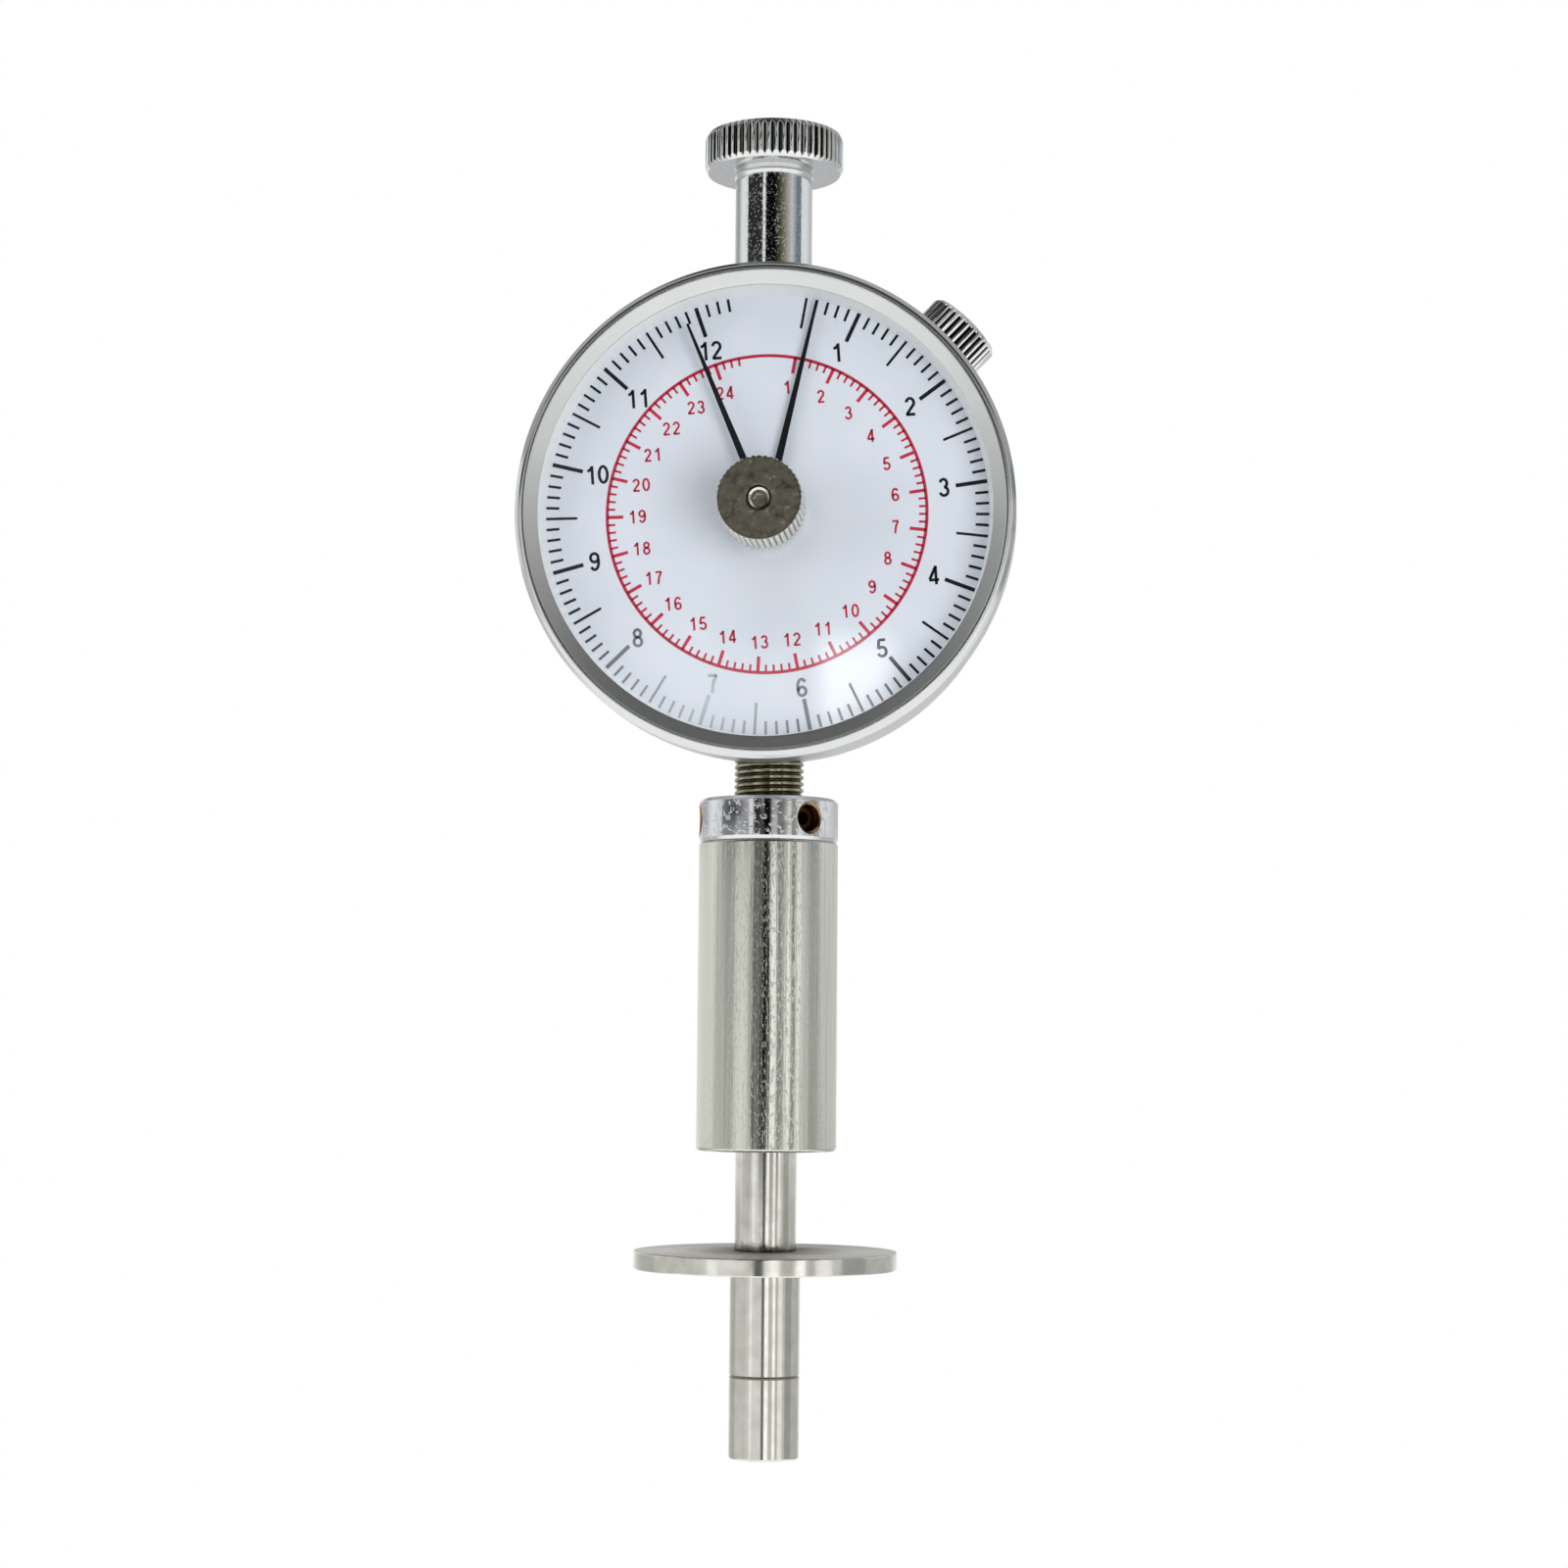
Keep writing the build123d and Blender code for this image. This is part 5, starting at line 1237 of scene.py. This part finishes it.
# Floor: a plain pale studio sweep, well below the tester, which is held by its stem.
# Its paint is matt, and away from the tester the camera sees it fade into the white of the studio.
FLOOR_HEIGHT = -0.35
FLOOR_RADIUS = 1.2
FLOOR_SIDES = 96
FADE_FROM = 0.2
FADE_END = 0.7
FLOOR_GLOW = 0.42
floor_shape = bmesh.new()
bmesh.ops.create_circle(floor_shape, cap_ends=True, segments=FLOOR_SIDES, radius=FLOOR_RADIUS)
floor_mesh = meshed("floor", floor_shape, Matrix.Translation((0, 0, FLOOR_HEIGHT)))
pale, tree, shader = start_material("pale_floor", Roughness=0.9, Base_Color="e8e8e6", Emission_Color="ffffff")
path = node(tree, "LightPath").outputs
seen = node(tree, "Math", path["Is Camera Ray"], path["Is Transmission Ray"], operation="MAXIMUM")
radius, _ = lathe_place(tree, UPRIGHT)
outwards = node(tree, "MapRange", radius, FADE_FROM * FLOOR_RADIUS, FADE_END * FLOOR_RADIUS, FLOOR_GLOW, 1.0)
wire(shader, {"Emission Strength": node(tree, "Math", seen, outwards, operation="MULTIPLY")})
floor = new_piece("floor", floor_mesh, pale)
floor.visible_glossy = False

# Studio: white all round, with dark flags in front that draw the bands down polished metal.
# Each list goes round from the camera's direction, left to right: where a card starts, in degrees, its shade,
# and the softness of its edge where that isn't the usual one.
CAMERA_TURN = 5.0
HIGH_CARDS = [(-180, "c0c0c0"), (-150, "9a9c9c", 10), (-118, "dcdedd", 8), (-84, "242527"), (-33, "e6e6e6"),
              (-25, "050505"), (10, "37372a", 6), (22, "65634d", 6), (33, "88827a", 5), (43, "a9a6a0", 5),
              (52, "bcbcbc", 4), (61, "9aa1a5", 4), (70, "6c757d", 4), (91, "d8dada"), (128, "b4b6b6", 12)]
SLEEVE_CARDS = [(-180, "d8d8d8"), (-98, "b8b8b8"), (-76, "a8a8a8", 5), (-56, "d8d8d8"), (-33, "b0b0b0"),
                (-26, "666666"), (-12, "181818"), (4, "ffffff"), (14, "8c8c8c"), (26, "c0c0c0"),
                (31, "ffffff"), (38, "747474"), (48, "f4f4f4"), (56, "c0c0c0"), (70, "a4a4a4"),
                (95, "c4c4c4")]
LOW_CARDS = [(-180, "d8d8d8"), (-150, "a8a8a8", 12), (-112, "bcbcbc"), (-64, "c8c8c8"), (-51, "ececec"),
             (-42, "d2d2d2"), (-10, "5a5a5a"), (-1, "ffffff"), (12, "b8b8b8"), (26, "ffffff"), (35, "b0b0b0"),
             (44, "e6e6e6"), (60, "bcbcbc"), (70, "949494"), (98, "acacac"), (150, "d8d8d8", 12)]
BACK_CARDS = [(-180, "a2a3a3"), (-166, "1c1d1e", 4), (-130, "a2a3a3", 4)]
CARD_BLUR = 1.5
CARD_LIGHT = 1.3
AHEAD = (-0.2, 0.2)
WELL_AHEAD = (0.12, 0.36)
world = bpy.data.worlds.new("studio")
bpy.context.scene.world = world
world.use_nodes = True
tree = world.node_tree
tree.nodes.clear()
ways = node(tree, "SeparateXYZ", node(tree, "TexCoord").outputs["Generated"]).outputs
ahead = node(tree, "Math", ways["Y"], -1.0, operation="MULTIPLY")
azimuth = node(tree, "Math", ways["X"], ahead, operation="ARCTAN2")
turned_by = node(tree, "Math", azimuth, math.radians(CAMERA_TURN), operation="SUBTRACT")
wrapped = node(tree, "Math", turned_by, math.pi, -math.pi, operation="WRAP")
share = node(tree, "MapRange", wrapped, -math.pi, math.pi, 0.0, 1.0)
elevation = node(tree, "Math", ways["Z"], operation="ARCSINE")


def card_ring(cards):
    """A ramp that goes round the object, with a soft edge between one card and the next."""
    ramp = node(tree, "ValToRGB", share)
    stops = ramp.color_ramp.elements
    stops.remove(stops[1])
    stops[0].position = 0
    stops[0].color = linear(cards[0][1])
    for (start, shade, *soft), last in zip(cards[1:], cards):
        blur = soft[0] if soft else CARD_BLUR
        for offset, colour in ((-blur, last[1]), (blur, shade)):
            stop = stops.new((start + offset + 180) / 360)
            stop.color = linear(colour)
    return ramp


def layered(shown, layers):
    """Colours that come in one over the other, each from one elevation to the next, in degrees."""
    for start, full, colour in layers:
        limits = (math.radians(start), math.radians(full))
        risen = node(tree, "MapRange", elevation, *limits, interpolation_type="SMOOTHSTEP")
        shown = node(tree, "Mix", {0: risen, 6: shown, 7: colour}, data_type="RGBA")
    return shown


sleeve_cards = card_ring(SLEEVE_CARDS)
high_cards = card_ring(HIGH_CARDS)
overhead = {0: node(tree, "MapRange", ahead, *WELL_AHEAD), 6: card_ring(BACK_CARDS), 7: "1c1d1e"}
roof = node(tree, "Mix", overhead, data_type="RGBA")
below = {0: node(tree, "MapRange", ahead, *AHEAD), 6: layered("acadae", [(-24, -42, "f4f4f2")]), 7: "f0f0ee"}
ground = node(tree, "Mix", below, data_type="RGBA")
LAYERS = [(-2.8, -1.8, sleeve_cards), (4.0, 4.4, high_cards), (5.1, 5.5, sleeve_cards),
          (11.5, 13.5, high_cards), (19, 22, "9a9a98"), (26, 34, roof), (-10, -15, ground)]
based = layered(card_ring(LOW_CARDS), LAYERS)

# The window that the crystal shows: a soft veil over the lower dial, and a brighter patch to the right of its
# middle. Each has the degrees between which its sides and heights come in and go out, and its light.
WINDOWS = [((-15, -12, -10, -7), (4.6, 6.0, 7.2, 8.4), 0.8),
           ((-9.3, -8.7, -8.0, -7.3), (5.2, 6.0, 7.5, 8.4), 3.4)]
glow = 0.0
for sides, heights, light in WINDOWS:
    for way, ends in ((wrapped, sides), (elevation, heights)):
        for start, full in (ends[:2], ends[:1:-1]):
            limits = (math.radians(start), math.radians(full))
            inside = node(tree, "MapRange", way, *limits, interpolation_type="SMOOTHSTEP")
            light = node(tree, "Math", light, inside, operation="MULTIPLY")
    glow = node(tree, "Math", glow, light, operation="ADD")
scaled = node(tree, "VectorMath", {0: based, "Scale": CARD_LIGHT}, operation="SCALE")
glossy = node(tree, "VectorMath", scaled, glow, operation="ADD")

# Matt surfaces get an even light, polished ones the cards, and the camera sees plain white.
EVEN_LIGHT = "bcbcbc"
path = node(tree, "LightPath").outputs
mirrored = node(tree, "Math", path["Glossy Depth"], 1.0, operation="MINIMUM")
bounces = node(tree, "Math", path["Glossy Depth"], path["Diffuse Depth"])
unbounced = node(tree, "Math", bounces, 0.5, operation="LESS_THAN")
through = node(tree, "Math", path["Is Transmission Ray"], unbounced, operation="MULTIPLY")
seen = node(tree, "Math", path["Is Camera Ray"], through, operation="MAXIMUM")
lit = node(tree, "Mix", {0: mirrored, 6: EVEN_LIGHT, 7: glossy}, data_type="RGBA")
shown = node(tree, "Mix", {0: seen, 6: lit, 7: "ffffff"}, data_type="RGBA")
node(tree, "OutputWorld", node(tree, "Background", {"Color": shown}))

# Lamps: one large soft box low on the right of the camera, and weaker ones above and on the left.
# Each has its place and size in metres and its power in watts; the cards alone show in polished metal.
LAMPS = {
    "soft_box": ((0.45, -0.75, -0.05), 0.5, 4.0),
    "top_light": ((-0.1, -0.35, 0.9), 0.7, 2.6),
    "left_fill": ((-0.8, -0.5, 0.2), 0.6, 2.2),
}
LAMP_AIM = Vector((0, 0, 0.09))
for name, (place, size, power) in LAMPS.items():
    lamp = bpy.data.lights.new(name, "AREA")
    lamp.size = size
    lamp.energy = power
    holder = bpy.data.objects.new(name, lamp)
    bpy.context.scene.collection.objects.link(holder)
    towards = LAMP_AIM - Vector(place)
    holder.matrix_world = Matrix.Translation(place) @ towards.to_track_quat("-Z", "Y").to_matrix().to_4x4()
    holder.visible_glossy = False
    holder.visible_transmission = False

# Camera: where the photograph was taken from, a little below and to the right of the dial, looking up.
# Its place is in millimetres, its turns are in radians, and white stays white in the picture.
CAMERA_PLACE = Vector((30.289, -348.341, 44.694)) * MM
CAMERA_YAW = 0.0818
CAMERA_PITCH = 0.0909
CAMERA_ROLL = 0.0080
SENSOR_WIDTH = 36
LENS_LENGTH = 69.833
NEAREST = 0.01
lens = bpy.data.cameras.new("camera")
lens.sensor_width = SENSOR_WIDTH
lens.lens = LENS_LENGTH
lens.clip_start = NEAREST
camera = bpy.data.objects.new("camera", lens)
bpy.context.scene.collection.objects.link(camera)
raised = Matrix.Rotation(math.pi / 2 + CAMERA_PITCH, 4, "X") @ Matrix.Rotation(CAMERA_ROLL, 4, "Z")
camera.matrix_world = Matrix.Translation(CAMERA_PLACE) @ Matrix.Rotation(CAMERA_YAW, 4, "Z") @ raised
bpy.context.scene.camera = camera
bpy.context.scene.view_settings.view_transform = "Standard"
